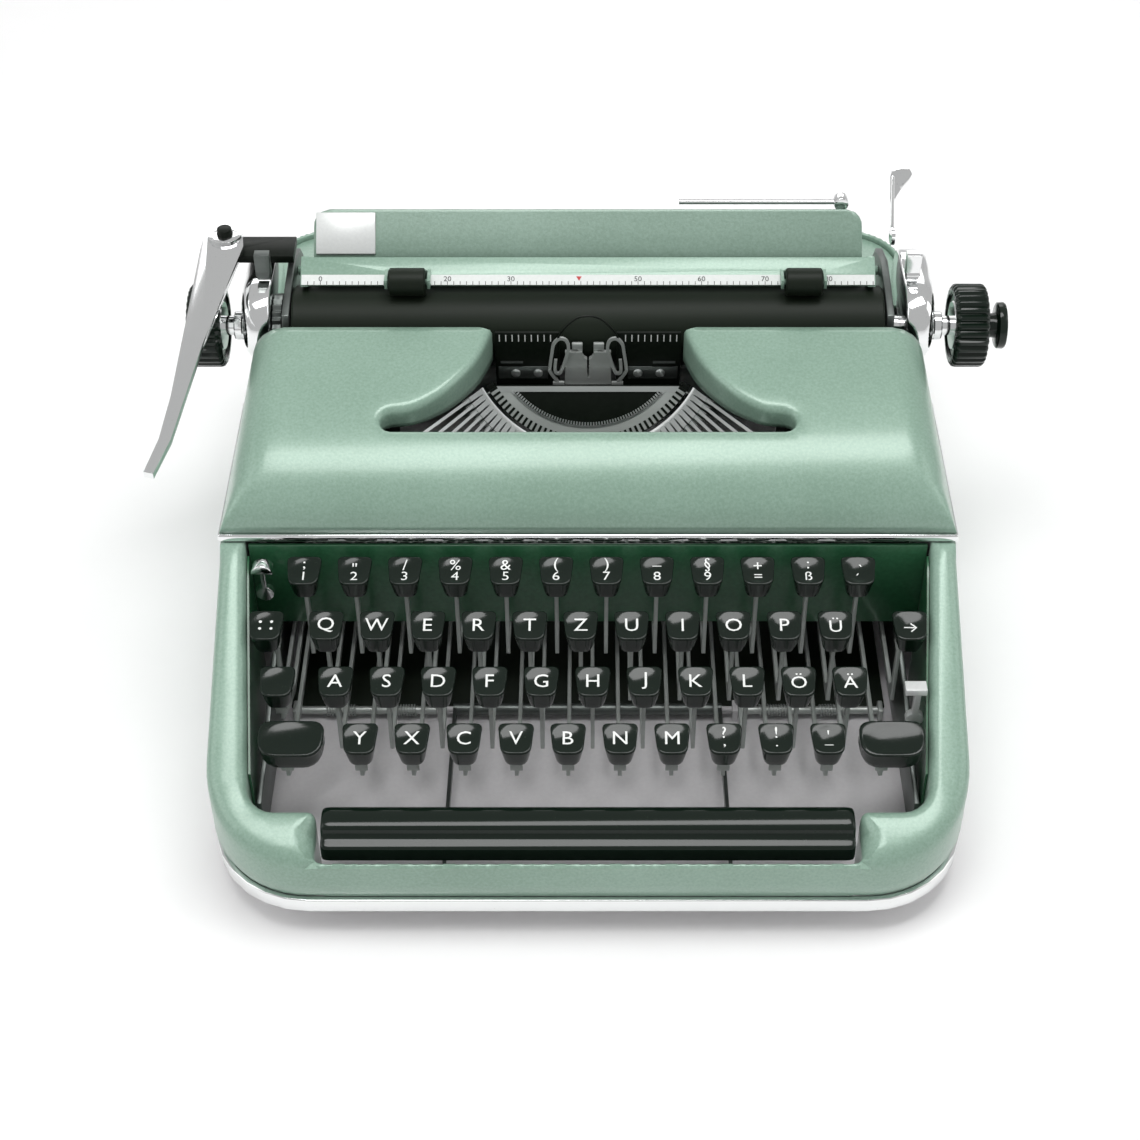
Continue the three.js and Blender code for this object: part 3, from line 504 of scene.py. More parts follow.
# unit vectors to the right of a path, which is outside a loop that runs anticlockwise
def loopNormals(loop):
    normals = []
    count = len(loop)
    for i in range(count):
        step = (Vector(loop[(i + 1) % count]) - Vector(loop[i - 1])).normalized()
        normals.append(Vector((step.y, -step.x)))
    return normals


def insideLoop(point, loop):
    inside = False
    x, y = point[0], point[1]
    for (ax, ay), (bx, by) in zip(loop, loop[1:] + loop[:1]):
        if (ay > y) != (by > y) and x < (bx - ax) * (y - ay) / (by - ay) + ax:
            inside = not inside
    return inside


def distanceTo(point, path, closed=True):
    best = 1e9
    last = len(path) if closed else len(path) - 1
    for i in range(last):
        a, b = path[i], path[(i + 1) % len(path)]
        edge = b - a
        reach = max(0.0, min(1.0, (point - a).dot(edge) / max(edge.length_squared, 1e-12)))
        best = min(best, (point - a - edge * reach).length_squared)
    return math.sqrt(best)


def triangulate(loops, extra):  # fills a plan; later loops are holes
    points, edges = [], []
    for loop in loops:
        start = len(points)
        points += [Vector(p) for p in loop]
        edges += [(start + i, start + (i + 1) % len(loop)) for i in range(len(loop))]
    points += [Vector(p) for p in extra]
    verts, _, faces, origins, _, _ = delaunay_2d_cdt(points, edges, [], 0, 1e-5, True)
    flat = [[tuple(p) for p in loop] for loop in loops]
    kept = []
    for face in faces:
        centre = sum((verts[i] for i in face), Vector((0, 0))) / len(face)
        if insideLoop(centre, flat[0]) and not any(insideLoop(centre, hole) for hole in flat[1:]):
            kept.append(face)
    places = {origin: i for i, group in enumerate(origins) for origin in group}
    return verts, kept, places


def edgeDrop(distance, radius):  # how far a rounded edge falls below the surface
    if distance >= radius:
        return 0.0
    return radius - math.sqrt(max(radius ** 2 - (radius - distance) ** 2, 0.0))


def plan(half, front, rear, frontRadius, rearRadius, steps):
    return (
        arcPoints(-half + frontRadius, front + frontRadius, frontRadius, 180, 270, steps)
        + arcPoints(half - frontRadius, front + frontRadius, frontRadius, 270, 360, steps)
        + arcPoints(half - rearRadius, rear - rearRadius, rearRadius, 0, 90, steps)
        + arcPoints(-half + rearRadius, rear - rearRadius, rearRadius, 90, 180, steps)
    )


def setPlace(bm, matrix):
    bmesh.ops.transform(bm, matrix=matrix, verts=bm.verts)


midY = shellFront + 165  # the drawing's own zero, front to back
atMachine = Matrix.Translation((midX, midY, 0))


# drawn from the machine's centre line, in mm
def machinePiece(name, bm, finish, body, replaced=(), angle=35):
    setPlace(bm, Matrix.Scale(mm, 4) @ atMachine)
    return fromBmesh(name, bm, finish, body, replaced, angle)


def loftPiece(name, rings, finish, body="machine", replaced=(), angle=35, place=None):
    bm = bmesh.new()
    addLoft(bm, rings)
    if place:
        setPlace(bm, place)
    machinePiece(name, facedOut(bm), finish, body, replaced, angle)


def turnedPiece(name, profile, centre, steps, finish, body, replaced=(), angle=35):
    bm = bmesh.new()
    roundProfile(bm, profile, centre, steps)
    machinePiece(name, facedOut(bm), finish, body, replaced, angle)


# ---- repeats: one tree puts copies of a small shape along a line or round an axis
def makeRepeatTree():
    tree = bpy.data.node_groups.new("repeatPiece", "GeometryNodeTree")
    face = tree.interface
    for name, kind in [
        ("Count", "NodeSocketInt"), ("Start", "NodeSocketVector"), ("Step", "NodeSocketVector"),
        ("First Turn", "NodeSocketVector"), ("Turn Step", "NodeSocketVector"),
        ("Shape", "NodeSocketObject"), ("Finish", "NodeSocketMaterial"),
    ]:
        face.new_socket(name, in_out="INPUT", socket_type=kind)
    face.new_socket("Geometry", in_out="OUTPUT", socket_type="NodeSocketGeometry")
    given = tree.nodes.new("NodeGroupInput")
    out = tree.nodes.new("NodeGroupOutput")
    sockets = {socket.name: Wire(tree, socket) for socket in given.outputs if socket.name}
    index = addNode(tree, "GeometryNodeInputIndex")

    def placed(step, start):
        scaledStep = addNode(
            tree, "ShaderNodeVectorMath", {"operation": "SCALE"}, {0: sockets[step], "Scale": index},
        )
        return addNode(
            tree, "ShaderNodeVectorMath", {"operation": "ADD"}, {0: sockets[start], 1: scaledStep},
        )

    points = addNode(
        tree, "GeometryNodePoints", {}, {"Count": sockets["Count"], "Position": placed("Step", "Start")},
    )
    shape = addNode(tree, "GeometryNodeObjectInfo", {}, {"Object": sockets["Shape"]}, output="Geometry")
    turn = addNode(tree, "FunctionNodeEulerToRotation", {}, {0: placed("Turn Step", "First Turn")})
    copies = addNode(
        tree, "GeometryNodeInstanceOnPoints", {}, {"Points": points, "Instance": shape, "Rotation": turn},
    )
    real = addNode(tree, "GeometryNodeRealizeInstances", {}, {"Geometry": copies})
    painted = addNode(
        tree, "GeometryNodeSetMaterial", {}, {"Geometry": real, "Material": sockets["Finish"]},
    )
    tree.links.new(painted.socket, out.inputs["Geometry"])
    return tree


repeatTree = makeRepeatTree()


def repeatPiece(
    name, shape, finish, body, count, start, step=(0, 0, 0), turn=(0, 0, 0), turnStep=(0, 0, 0),
    place=None, replaced=(), angle=35,
):
    source = newObject(name + "_shape", toMesh(name + "_shape", shape))
    holder = newObject(name + "_repeat", bpy.data.meshes.new(name + "_repeat"))
    modifier = holder.modifiers.new("repeat", "NODES")
    modifier.node_group = repeatTree
    values = {
        "Count": count, "Start": start, "Step": step, "First Turn": turn, "Turn Step": turnStep,
        "Shape": source, "Finish": finish,
    }
    for item in repeatTree.interface.items_tree:
        if item.in_out == "INPUT":
            modifier[item.identifier] = values[item.name]
    bpy.context.view_layer.update()
    graph = bpy.context.evaluated_depsgraph_get()
    mesh = bpy.data.meshes.new_from_object(holder.evaluated_get(graph))
    holder.modifiers.remove(modifier)
    bpy.data.objects.remove(holder)
    bpy.data.objects.remove(source)
    mesh.name = name
    mesh.transform(Matrix.Scale(mm, 4) @ atMachine @ (place or Matrix.Identity(4)))
    addPiece(name, mesh, finish, body, replaced, angle)


# ---- floor
def makeFloor():
    finish = Finish("paperFloor", (0.94, 0.94, 0.94), 0.8)
    fibres = finish.noise(40.0, 3.0)
    finish.shade(fibres, (0.93, 0.93, 0.93), (0.95, 0.95, 0.95))
    bm = bmesh.new()
    side = spline([(-1.6, 0.0), (1.2, 0.0), (1.9, 0.12), (2.2, 0.6), (2.25, 1.8)], 8)
    rows = [[bm.verts.new((x, y, z)) for y, z in side] for x in (-3.0, 3.0)]
    for i in range(len(side) - 1):
        bm.faces.new((rows[0][i], rows[1][i], rows[1][i + 1], rows[0][i + 1]))
    mesh = toMesh("floor", bm)
    mesh.shade_smooth()
    addObject("floor", mesh, finish.material)


makeFloor()

# ---- body shell: a rounded top drawn over its plan, with walls down to the band
shell = {
    "half": halfWidth, "front": -165, "rear": 160, "frontCorner": 38, "rearCorner": 24,
    "bottom": 10.8, "lip": 30.0, "recessHalf": 98.5, "wellFront": 124.3, "wellRear": 130.3,
    "blockRear": -145.0, "hoodFront": -51.0, "wall": 2.0, "edge": 4.6,
}
armSide = [
    (-165, 31.2), (-161, 33.6), (-155, 36.2), (-145, 39.6), (-138, 42.8), (-60, 82.0), (-56, 84), (200, 84),
]


def shellHeight(x, y):
    arm = smoothAlong(armSide, y)
    if y > -151:
        return arm
    blend = ease(max(0.0, min(1.0, (abs(x) - shell["recessHalf"] + 0.2) / 3.6)))
    return shell["lip"] + (arm - shell["lip"]) * blend


def shellEdge(x, y):  # radius of the rounded edge
    if y > shell["hoodFront"] - 2:
        return 0.9
    blend = ease(max(0.0, min(1.0, (abs(x) - shell["recessHalf"] - 0.5) / 5.0)))
    return 0.95 + (shell["edge"] - 0.95) * (1.0 if y > -152 else blend)


def makeShell():
    edges = [shell[part] for part in ("half", "front", "rear", "frontCorner", "rearCorner")]
    outer = densify(plan(*edges, 12), 5.0)
    rear = plan(shell["half"] - shell["wall"], 0, 158, 5, 22, 8)[18:]
    right = (
        arcPoints(shell["recessHalf"] - 3, -160, 3, 270, 360, 4)
        + arcPoints(shell["recessHalf"] + 3, shell["blockRear"] - 3, 3, 180, 90, 3)
        + arcPoints(shell["wellFront"] - 10, shell["blockRear"] + 10, 10, 270, 360, 6)
        + [(shell["wellRear"], shell["hoodFront"]), (shell["half"] - shell["wall"], shell["hoodFront"])]
    )
    left = [(-x, y) for x, y in reversed(right)]
    hole = densify(right + rear + left, 4.0)
    outerLine, holeLine = [tuple(p) for p in outer], [tuple(p) for p in hole]
    extra = []
    for loop, sign in ((outer, -1), (hole, 1)):
        for point, normal in zip(loop, loopNormals(loop)):
            radius = shellEdge(*point)
            extra += [point + normal * sign * radius * part for part in (0.08, 0.3, 0.62, 0.95)]
    for i in range(-58, 59):
        for k in range(46):
            point = Vector((i * 2.5, -163 + k * 2.5))
            if insideLoop(point, outerLine) and not insideLoop(point, holeLine):
                if min(distanceTo(point, outer), distanceTo(point, hole)) > shellEdge(*point) + 1.2:
                    extra.append(point)
    verts, faces, places = triangulate([outer, hole], extra)
    bm = bmesh.new()
    made = []
    for point in verts:
        fall = edgeDrop(min(distanceTo(point, outer), distanceTo(point, hole)), shellEdge(*point))
        made.append(bm.verts.new((point.x, point.y, shellHeight(*point) - fall)))
    for face in faces:
        bm.faces.new([made[i] for i in face])
    for loop, start, outside in ((outer, 0, True), (hole, len(outer), False)):
        normals = loopNormals(loop)
        above = [made[places[start + i]] for i in range(len(loop))]
        for part in (0.25, 0.5, 0.75, 1.0):
            below = []
            for i, point in enumerate(loop):
                top = made[places[start + i]].co.z
                z = top + (shell["bottom"] - top) * part
                tuck = 2.3 * max(0.0, (17.5 - z) / 6.7) ** 1.5 if outside else 0.0
                spot = point - normals[i] * tuck
                below.append(bm.verts.new((spot.x, spot.y, z)))
            for i in range(len(loop)):
                j = (i + 1) % len(loop)
                bm.faces.new((above[i], above[j], below[j], below[i]))
            above = below
    rim = [edge for edge in bm.edges if edge.is_boundary]
    bmesh.ops.triangle_fill(bm, use_beauty=True, edges=rim, normal=(0, 0, -1))
    machinePiece("bodyShell", facedOut(bm), mint, "machine", ["body_shell"], angle=40)


makeShell()
print("body shell made")

# ---- hood: its surface is drawn flat, as width and distance from the front edge, then folded to shape
hood = {
    "half": 139.8, "bottom": 88.0, "lean": 6.0, "shoulder": 15.0, "flat": 119.0, "rim": 3.0,
    "skirt": 109.0, "sheet": 1.5,
}
hoodLine = spline(
    [(-51, 88.2), (-50.4, 92), (-47.5, 98.5), (-40, 106.5), (-29, 113), (-15, 117.5), (5, 122), (29.5, 125)],
    8,
)


def measureLine(line):
    lengths = [0.0]
    for (ay, az), (by, bz) in zip(line, line[1:]):
        lengths.append(lengths[-1] + math.hypot(by - ay, bz - az))
    return lengths


hoodLengths = measureLine(hoodLine)
lengthAtY = [(point[0], length) for point, length in zip(hoodLine, hoodLengths)]
yAtLength = [(length, point[0]) for point, length in zip(hoodLine, hoodLengths)]
zAtLength = [(length, point[1]) for point, length in zip(hoodLine, hoodLengths)]


def foldHood(u, v, fall):
    y, z = along(yAtLength, v), along(zAtLength, v)
    rise = z - hood["bottom"]
    radius = min(hood["shoulder"], rise * 0.72)
    flatHalf = hood["half"] - hood["lean"] * rise / 37 - radius
    side = 1 if u > 0 else -1
    reach = abs(u)
    if reach <= 90:
        return u, y, z - fall
    if reach <= hood["flat"]:
        return side * (90 + (reach - 90) * (flatHalf - 90) / (hood["flat"] - 90)), y, z - fall
    turn = math.radians(min(1.0, (reach - hood["flat"]) / 20) * 76)
    x, high = flatHalf + radius * math.sin(turn), z - radius * (1 - math.cos(turn))
    down = max(0.0, (reach - hood["flat"] - 20) / 30)
    return side * (x + (hood["half"] - x) * down), y, high + (hood["bottom"] - high) * down


def openingRim():  # from the left rear corner, round the front of the opening, to the right rear corner
    slotHalf, inner, front, slot = 75.0, 38.0, -22.0, 8.5
    shoulder = front + slot
    wing = spline([
        (slotHalf + 0.5, shoulder + 0.1), (slotHalf - 8, shoulder + 1.6), (slotHalf - 18, shoulder + 8),
        (slotHalf - 26, shoulder + 17), (slotHalf - 32, shoulder + 27), (inner + 1.5, shoulder + 37),
        (inner, 29.5),
    ], 7)
    end = arcPoints(slotHalf, front + slot / 2, slot / 2, -90, 78, 7)
    right = [(0.0, front)] + end + wing[1:]
    left = [(-x, y) for x, y in reversed(right[1:])]
    return densify(left + right, 3.0, closed=False)


def makeHood():
    reach = hood["flat"] + 50
    last = hoodLengths[-1]
    rim = [Vector((p.x, along(lengthAtY, p.y))) for p in openingRim()]
    edge = [
        Vector((rim[-1].x, last)), Vector((reach, last)), Vector((reach, 0)), Vector((-reach, 0)),
        Vector((-reach, last)),
    ]
    border = densify([tuple(p) for p in edge] + [tuple(rim[0])], 5.0, closed=False)
    outline = [Vector(p) for p in rim] + border[1:-1]
    flatOutline = [tuple(p) for p in outline]
    extra = []
    normals = loopNormals(rim)
    normals[0], normals[-1] = Vector((-1, 0)), Vector((1, 0))
    for point, normal in zip(rim[1:-1], normals[1:-1]):
        for part in (0.07, 0.25, 0.55, 1.0):
            spot = point + normal * hood["rim"] * part
            if spot.y < last - 0.3:
                extra.append(spot)
    columns = [i * 5.0 for i in range(-23, 24)]
    columns += [side * (hood["flat"] + k * 2.5) for side in (-1, 1) for k in range(9)]
    columns += [side * (hood["flat"] + 20 + k * 5) for side in (-1, 1) for k in range(1, 6)]
    for u in columns:
        for k in range(1, 34):
            point = Vector((u, last * k / 34))
            if insideLoop(point, flatOutline) and distanceTo(point, rim, closed=False) > hood["rim"] + 1.5:
                extra.append(point)
    verts, faces, _ = triangulate([outline], extra)
    bm = bmesh.new()
    made = []
    for point in verts:
        fall = edgeDrop(distanceTo(point, rim, closed=False), hood["rim"]) if abs(point.x) < 90 else 0.0
        made.append(bm.verts.new(foldHood(point.x, point.y, fall)))
    for face in faces:
        bm.faces.new([made[i] for i in face])
    bm.verts.index_update()
    ring = []
    for point in rim:
        nearest = min(range(len(verts)), key=lambda i: (verts[i] - point).length_squared)
        ring.append(made[nearest])
    above = ring
    for part in (0.35, 0.7, 1.0):
        below = [bm.verts.new((v.co.x, v.co.y, v.co.z + (hood["skirt"] - v.co.z) * part)) for v in ring]
        for i in range(len(ring) - 1):
            bm.faces.new((above[i], above[i + 1], below[i + 1], below[i]))
        above = below
    bmesh.ops.remove_doubles(bm, verts=bm.verts, dist=0.02)
    bmesh.ops.dissolve_degenerate(bm, edges=bm.edges, dist=0.001)
    bmesh.ops.recalc_face_normals(bm, faces=bm.faces)
    if sum(face.normal.z for face in bm.faces) < 0:
        bmesh.ops.reverse_faces(bm, faces=bm.faces)
    piece = machinePiece("hoodSheet", bm, mint, "hood_group", ["hood"], angle=42)
    thick = piece.modifiers.new("sheet", "SOLIDIFY")
    thick.thickness = hood["sheet"] * mm
    thick.offset = -1
    thick.use_even_offset = False


makeHood()
print("hood made")

# ---- chrome edges, pan and the dark panel
refineNode("hood_trim", chrome, 0.9, 3)
refineNode("base_trim", chrome, 0.7, 3)
refineNode("base_pan", greyPan, 0.25)
refineNode("keyboard_panel", darkGreen, 0.4)
refineNode("rear_cover", mint, 0.5)

# ---- keys
key = {"width": 13.6, "depth": 13.0, "tall": 9.0, "tilt": 12.0, "dish": 0.75}


def capOutline(width, depth, steps=5):  # rounded, wider at the back; a wide key is nearly oval
    w, d = width / 2, depth / 2
    wide = width > 20
    front = 0.92 if wide else 0.80
    corners = [
        (-w * front, -d, 6.5 if wide else 3.4), (w * front, -d, 6.5 if wide else 3.4),
        (w, d, 5.5 if wide else 2.7), (-w, d, 5.5 if wide else 2.7),
    ]
    path = []
    for i, (x, y, radius) in enumerate(corners):
        corner = Vector((x, y))
        following = corners[(i + 1) % 4]
        a = (Vector(corners[i - 1][:2]) - corner).normalized() * radius + corner
        b = (Vector(following[:2]) - corner).normalized() * radius + corner
        for k in range(steps + 1):
            t = k / steps
            path.append(a * (1 - t) ** 2 + corner * 2 * t * (1 - t) + b * t * t)
        nearEnd = Vector(following[:2]) + (corner - Vector(following[:2])).normalized() * following[2]
        path += [b.lerp(nearEnd, k / 6) for k in range(1, 6)]
    return path


def dishDepth(x, y, width, depth):  # how far the hollow top lies below its rim
    reach = min(1.0, math.hypot(x / (width / 2), y / (depth / 2)) / 0.92)
    return key["dish"] * (1 - reach ** 2)


def addCap(bm, width, depth, place):  # the cap's own zero is the centre of its top
    outline = capOutline(width, depth)
    tall = key["tall"]
    small = (width - 3.6) / width
    rings = []
    for size, z in [
        (small, -tall), (small + 0.06, -tall + 0.6), (small + 0.12, -6.4), (0.955, -2.6), (0.985, -1.4),
        (1.0, -0.75), (0.99, -0.3), (0.965, -0.07), (0.93, 0.0),
    ]:
        ahead = size + (1 - size) * 0.8
        rings.append([
            Vector((p.x * size, p.y * (ahead if p.y < 0 and z < -0.2 else size), z)) for p in outline
        ])
    for size in (0.89, 0.80, 0.68, 0.54, 0.40, 0.26, 0.12):
        rings.append([
            Vector((p.x * size, p.y * size, -dishDepth(p.x * size, p.y * size, width, depth)))
            for p in outline
        ])
    before = set(bm.verts)
    addLoft(bm, rings)
    made = [v for v in bm.verts if v not in before]
    bmesh.ops.transform(bm, matrix=place, verts=made)


def glyphMesh(text, size):  # flat letters as a mesh, centred, in mm
    curve = bpy.data.curves.new("legend", "FONT")
    curve.body = text
    curve.size = size
    curve.align_x = "CENTER"
    curve.align_y = "CENTER"
    curve.resolution_u = 3
    holder = newObject("legend", curve)
    bpy.context.view_layer.update()
    mesh = bpy.data.meshes.new_from_object(holder.evaluated_get(bpy.context.evaluated_depsgraph_get()))
    bpy.data.objects.remove(holder)
    bpy.data.curves.remove(curve)
    return mesh


# lay turns a flat place into one on the piece
def addText(bm, text, size, spot, lay, material=1, stretch=1.0):
    mesh = glyphMesh(text, size)
    xs = [v.co.x for v in mesh.vertices]
    ys = [v.co.y for v in mesh.vertices]
    midA, midB = (min(xs) + max(xs)) / 2, (min(ys) + max(ys)) / 2
    points = [
        bm.verts.new(lay(spot[0] + (v.co.x - midA) * stretch, spot[1] + v.co.y - midB))
        for v in mesh.vertices
    ]
    for polygon in mesh.polygons:
        try:
            bm.faces.new([points[i] for i in polygon.vertices]).material_index = material
        except ValueError:
            continue
    bpy.data.meshes.remove(mesh)


def capPlace(x, y, z):
    return Matrix.Translation((x, y, z)) @ Matrix.Rotation(math.radians(key["tilt"]), 4, "X")


def makeKey(name, x, y, z, body, legends=(), width=None, depth=None, replaced=()):
    width, depth = width or key["width"], depth or key["depth"]
    place = capPlace(x, y, z)
    bm = bmesh.new()
    addCap(bm, width, depth, place)
    bmesh.ops.recalc_face_normals(bm, faces=bm.faces)

    def lay(a, b):
        return place @ Vector((a, b, 0.1 - dishDepth(a, b, width, depth)))

    for text, size, spot in legends:
        addText(bm, text, size, spot, lay, stretch=1.06)
    setPlace(bm, Matrix.Scale(mm, 4))
    piece = fromBmesh(name, bm, keyBlack, body, replaced, angle=50)
    piece.data.materials.append(legendWhite)


def addLever(bm, x, y, z, backY, backZ):  # flat lever with its bent stem
    high, low = backZ + 1.6, backZ - 1.6
    side = [
        (y - 1.4, low + 0.9), (y - 0.5, low), (backY, low), (backY, high), (y + 6, high),
        (y + 2.6, high + 3.0), (y + 1.7, high + 5.5), (y + 1.5, z - 7), (y - 1.5, z - 7.6),
        (y - 1.5, high + 2),
    ]
    if z - backZ < 32:  # the lowest row's levers slope up to their caps
        side = [
            (y - 2.4, z - 18.0), (y + 0.4, z - 19.5), (y + 24, low), (backY, low), (backY, high),
            (y + 25, high), (y + 2.6, z - 12.4), (y + 1.8, z - 7), (y - 1.9, z - 7.6),
        ]
        addBlock(bm, (x - 2.3, y - 3.0, z - 14.6), (x + 2.3, y - 2.0, z - 9.5), 0.2)
    addStrip(bm, side, x - 0.75, x + 0.75, bevel=0.16)
    addBlock(bm, (x - 1.6, y - 2.6, z - 10.6), (x + 1.6, y + 2.4, z - 7.0), 0.4)


rowKeys = {
    "key_row_numbers": ["1;", "2\"", "3/", "4%", "5&", "6(", "7)", "8_", "9§", "=+", "ß:", "´`"],
    "key_row_upper": ["Q", "W", "E", "R", "T", "Z", "U", "I", "O", "P", "Ü"],
    "key_row_home": ["A", "S", "D", "F", "G", "H", "J", "K", "L", "Ö", "Ä"],
    "key_row_lower": ["Y", "X", "C", "V", "B", "N", "M", ",?", ".!", "_'"],
}
keyWords = {
    ",": "comma", ".": "stop", "_": "dash", "=": "equals", "ß": "sharpS", "´": "accent",
    "Ü": "uUmlaut", "Ö": "oUmlaut", "Ä": "aUmlaut",
}
signSpots = {",": (0, -2.9), ".": (0, -2.9), "_": (0, -2.6), "´": (-0.6, -1.6)}
topSpots = {"_": (0, 2.2), "`": (0.6, 2.4), "+": (0, 2.4), ";": (0, 2.4)}


def makeRow(node):
    low, high = boxMm(node)
    body = bodyOf(node)
    names = rowKeys[node]
    y, z = low.y + 6.36, high.z - 1.35
    backY, backZ = high.y - 3, low.z + 3
    first = low.x + key["width"] / 2
    pitch = (high.x - low.x - key["width"]) / (len(names) - 1)
    bm = bmesh.new()
    for i, letters in enumerate(names):
        x = first + i * pitch
        if len(letters) == 1:
            legends = [(letters, 7.9 if len(letters.encode()) == 1 else 7.4, (0, 0.4))]
        else:
            legends = [
                (letters[1], 6.3, topSpots.get(letters[1], (0, 2.7))),
                (letters[0], 5.9, signSpots.get(letters[0], (0, -2.3))),
            ]
        makeKey("key_" + keyWords.get(letters[0], letters[0].lower()), x, y, z, body, legends)
        addLever(bm, x, y, z, backY, backZ)
        roundProfile(
            bm, [(x - 2.2, 2.9), (x - 1.9, 3.0), (x + 1.9, 3.0), (x + 2.2, 2.9)], (0, backY, backZ), 16,
        )
    roundProfile(
        bm, [(first - 1.2, 1.6), (first + pitch * (len(names) - 1) + 1.2, 1.6)], (0, backY, backZ), 14,
    )
    fromBmesh(node + "_levers", scaled(facedOut(bm)), leverSteel, body, [node])


for node in rowKeys:
    makeRow(node)
print("character keys made")


def makeEndKey(node, legends=(), depth=13.0, leverX=0.0):
    low, high = boxMm(node)
    x, width = (low.x + high.x) / 2, high.x - low.x
    tiltCos, tiltSin = math.cos(math.radians(key["tilt"])), math.sin(math.radians(key["tilt"]))
    y, z = low.y + depth / 2 * tiltCos, high.z - depth / 2 * tiltSin
    body = bodyOf(node)
    makeKey(node + "_cap", x, y, z, body, legends, width, depth, [node])
    bm = bmesh.new()
    backY, backZ = high.y - 3, low.z + 3
    addLever(bm, x + leverX, y, z, backY, backZ)
    roundProfile(bm, [(x + leverX - 0.9, 3.0), (x + leverX + 0.9, 3.0)], (0, backY, backZ), 16)
    fromBmesh(node + "_arm", scaled(facedOut(bm)), leverSteel, body)


makeEndKey("shift_key_left", depth=15.0, leverX=-2.0)
makeEndKey("shift_key_right", depth=15.0, leverX=-3.2)
makeEndKey("shift_lock", leverX=1.0)
makeEndKey("margin_release_key", [(".", 9.5, (x, y)) for x in (-2.1, 2.1) for y in (-1.2, 1.8)], leverX=3.2)
makeEndKey("backspace_key", [("→", 6.4, (0, -0.8))], leverX=-3.2)


# ---- space bar: a long hollow-fronted bar on two arms
def makeSpaceBar():
    low, high = boxMm("space_bar")
    y = low.y + 8.2
    section = spline([
        (y + 7.9, 29.5), (y + 8.2, 33.5), (y + 7.2, 36.8), (y + 4.5, 37.9), (y + 0.5, 37.7),
        (y - 2.4, 36.6), (y - 3.2, 34.9), (y - 4.2, 33.2), (y - 6.2, 32.4), (y - 7.9, 31.6),
        (y - 8.2, 29.6), (y - 8.2, 25.2),
    ], 3) + [(y - 7.4, 25.0), (y + 7.4, 25.0), (y + 7.9, 25.6)]
    middle = Vector((y, 30.5))
    rings = []
    ends = [(0.0, 0.86), (0.35, 0.93), (0.9, 0.97), (1.8, 0.99), (3.2, 1.0)]
    for offset, size in ends + [(high.x - low.x - a, b) for a, b in reversed(ends)]:
        ring = []
        for point in section:
            spot = middle + (Vector(point) - middle) * size
            ring.append((low.x + offset, spot.x, max(spot.y, 25.0)))
        rings.append(ring)
    bm = bmesh.new()
    addLoft(bm, rings)
    fromBmesh("spaceBar", scaled(facedOut(bm)), keyBlack, "space", ["space_bar"], angle=50)
    bm = bmesh.new()
    pivotY, pivotZ = high.y - 2.4, low.z + 2.4
    arms = [midX - 52.7, midX + 52.3]
    side = [
        (y - 2, 27), (y - 2, 15.5), (pivotY, pivotZ - 2), (pivotY + 1.5, pivotZ), (pivotY, pivotZ + 2),
        (y + 8, 19.5), (y + 6, 27),
    ]
    for x in arms:
        addStrip(bm, side, x - 0.7, x + 0.7, bevel=0.15)
    roundProfile(bm, [(arms[0] - 0.7, 2.4), (arms[1] + 0.7, 2.4)], (0, pivotY, pivotZ), 18)
    fromBmesh("spaceBarArms", scaled(facedOut(bm)), darkSteel, "space")


makeSpaceBar()
print("space bar and end keys made")

# ---- what fills the keyboard well: dark liners, and a long shaft with its return springs
well = {"linerThick": 0.8, "linerTop": -5.0, "springRadius": 2.2, "springTurns": 11, "springLength": 12.0}


def makeShadowSheet():  # a black sheet on the pan behind the long shaft: painted shadow where the levers and hood shade the pan
    bm = bmesh.new()
    addBlock(bm, (-118.5, -66, 7.05), (118.5, 30, 8.4), 0.4)
    machinePiece("dampingFelt", facedOut(bm), rubber, "machine")


def makeLiners():
    for side, name in ((-1, "wellLinerLeft"), (1, "wellLinerRight")):
        rows = []
        for k in range(24):
            y = -53.0 - k * (78.0 / 23)
            half = shell["wellRear"] + (shell["wellFront"] - shell["wellRear"]) * (-51 - y) / 84
            top = min(78.0, smoothAlong(armSide, y) + well["linerTop"])
            x = side * (half - 0.25)
            inner = side * (half - 0.25 - well["linerThick"])
            rows.append([(x, y, 9.5), (x, y, top), (inner, y, top), (inner, y, 9.5)])
        loftPiece(name, rows, darkGreen)


def makeSprings():
    pivotY, pivotZ = -70.0, 10.4
    bm = bmesh.new()
    for side in (-1, 1):
        x0, x1 = sorted((side * 60.0, side * 117.0))
        roundProfile(bm, [(x0, 1.2), (x0 + 0.4, 1.6), (x1 - 0.4, 1.6), (x1, 1.2)], (0, pivotY, pivotZ), 18)
        addBlock(bm, (side * 116 - 1, pivotY - 3, 6.9), (side * 116 + 1, pivotY + 3, pivotZ + 2.6), 0.4)
    machinePiece("springShaft", facedOut(bm), leverSteel, "machine")
    coil = bmesh.new()
    steps = well["springTurns"] * 12
    path = []
    for i in range(steps + 1):
        path.append((well["springLength"] * i / steps, *polar(well["springRadius"], i, 12)))
    addTube(coil, path, 0.34, 5)
    facedOut(coil)
    for name, first in (("returnSpringsLeft", -104.0), ("returnSpringsRight", 68.0)):
        repeatPiece(name, coil.copy(), leverSteel, "machine", 2, (first, pivotY, pivotZ), (24.0, 0, 0))
    coil.free()


makeShadowSheet()
makeLiners()
makeSprings()

# ---- small levers beside the keys
refineNode("touch_control_tab", chrome, 0.5, 3)
refineNode("colour_selector", whitePlate, 0.5, 3)

# ---- type basket
basket = {
    "tilt": 60.0, "centre": (0, 32.5, 122.0), "arc": 50.0, "half": 60.0, "bars": 43, "stand": 50.0,
    "segment": 47.0, "chord": 23.0, "bandInner": 39.8,
}
basketFrame = Matrix.Translation(basket["centre"]) @ Matrix.Rotation(math.radians(basket["tilt"]), 4, "X")


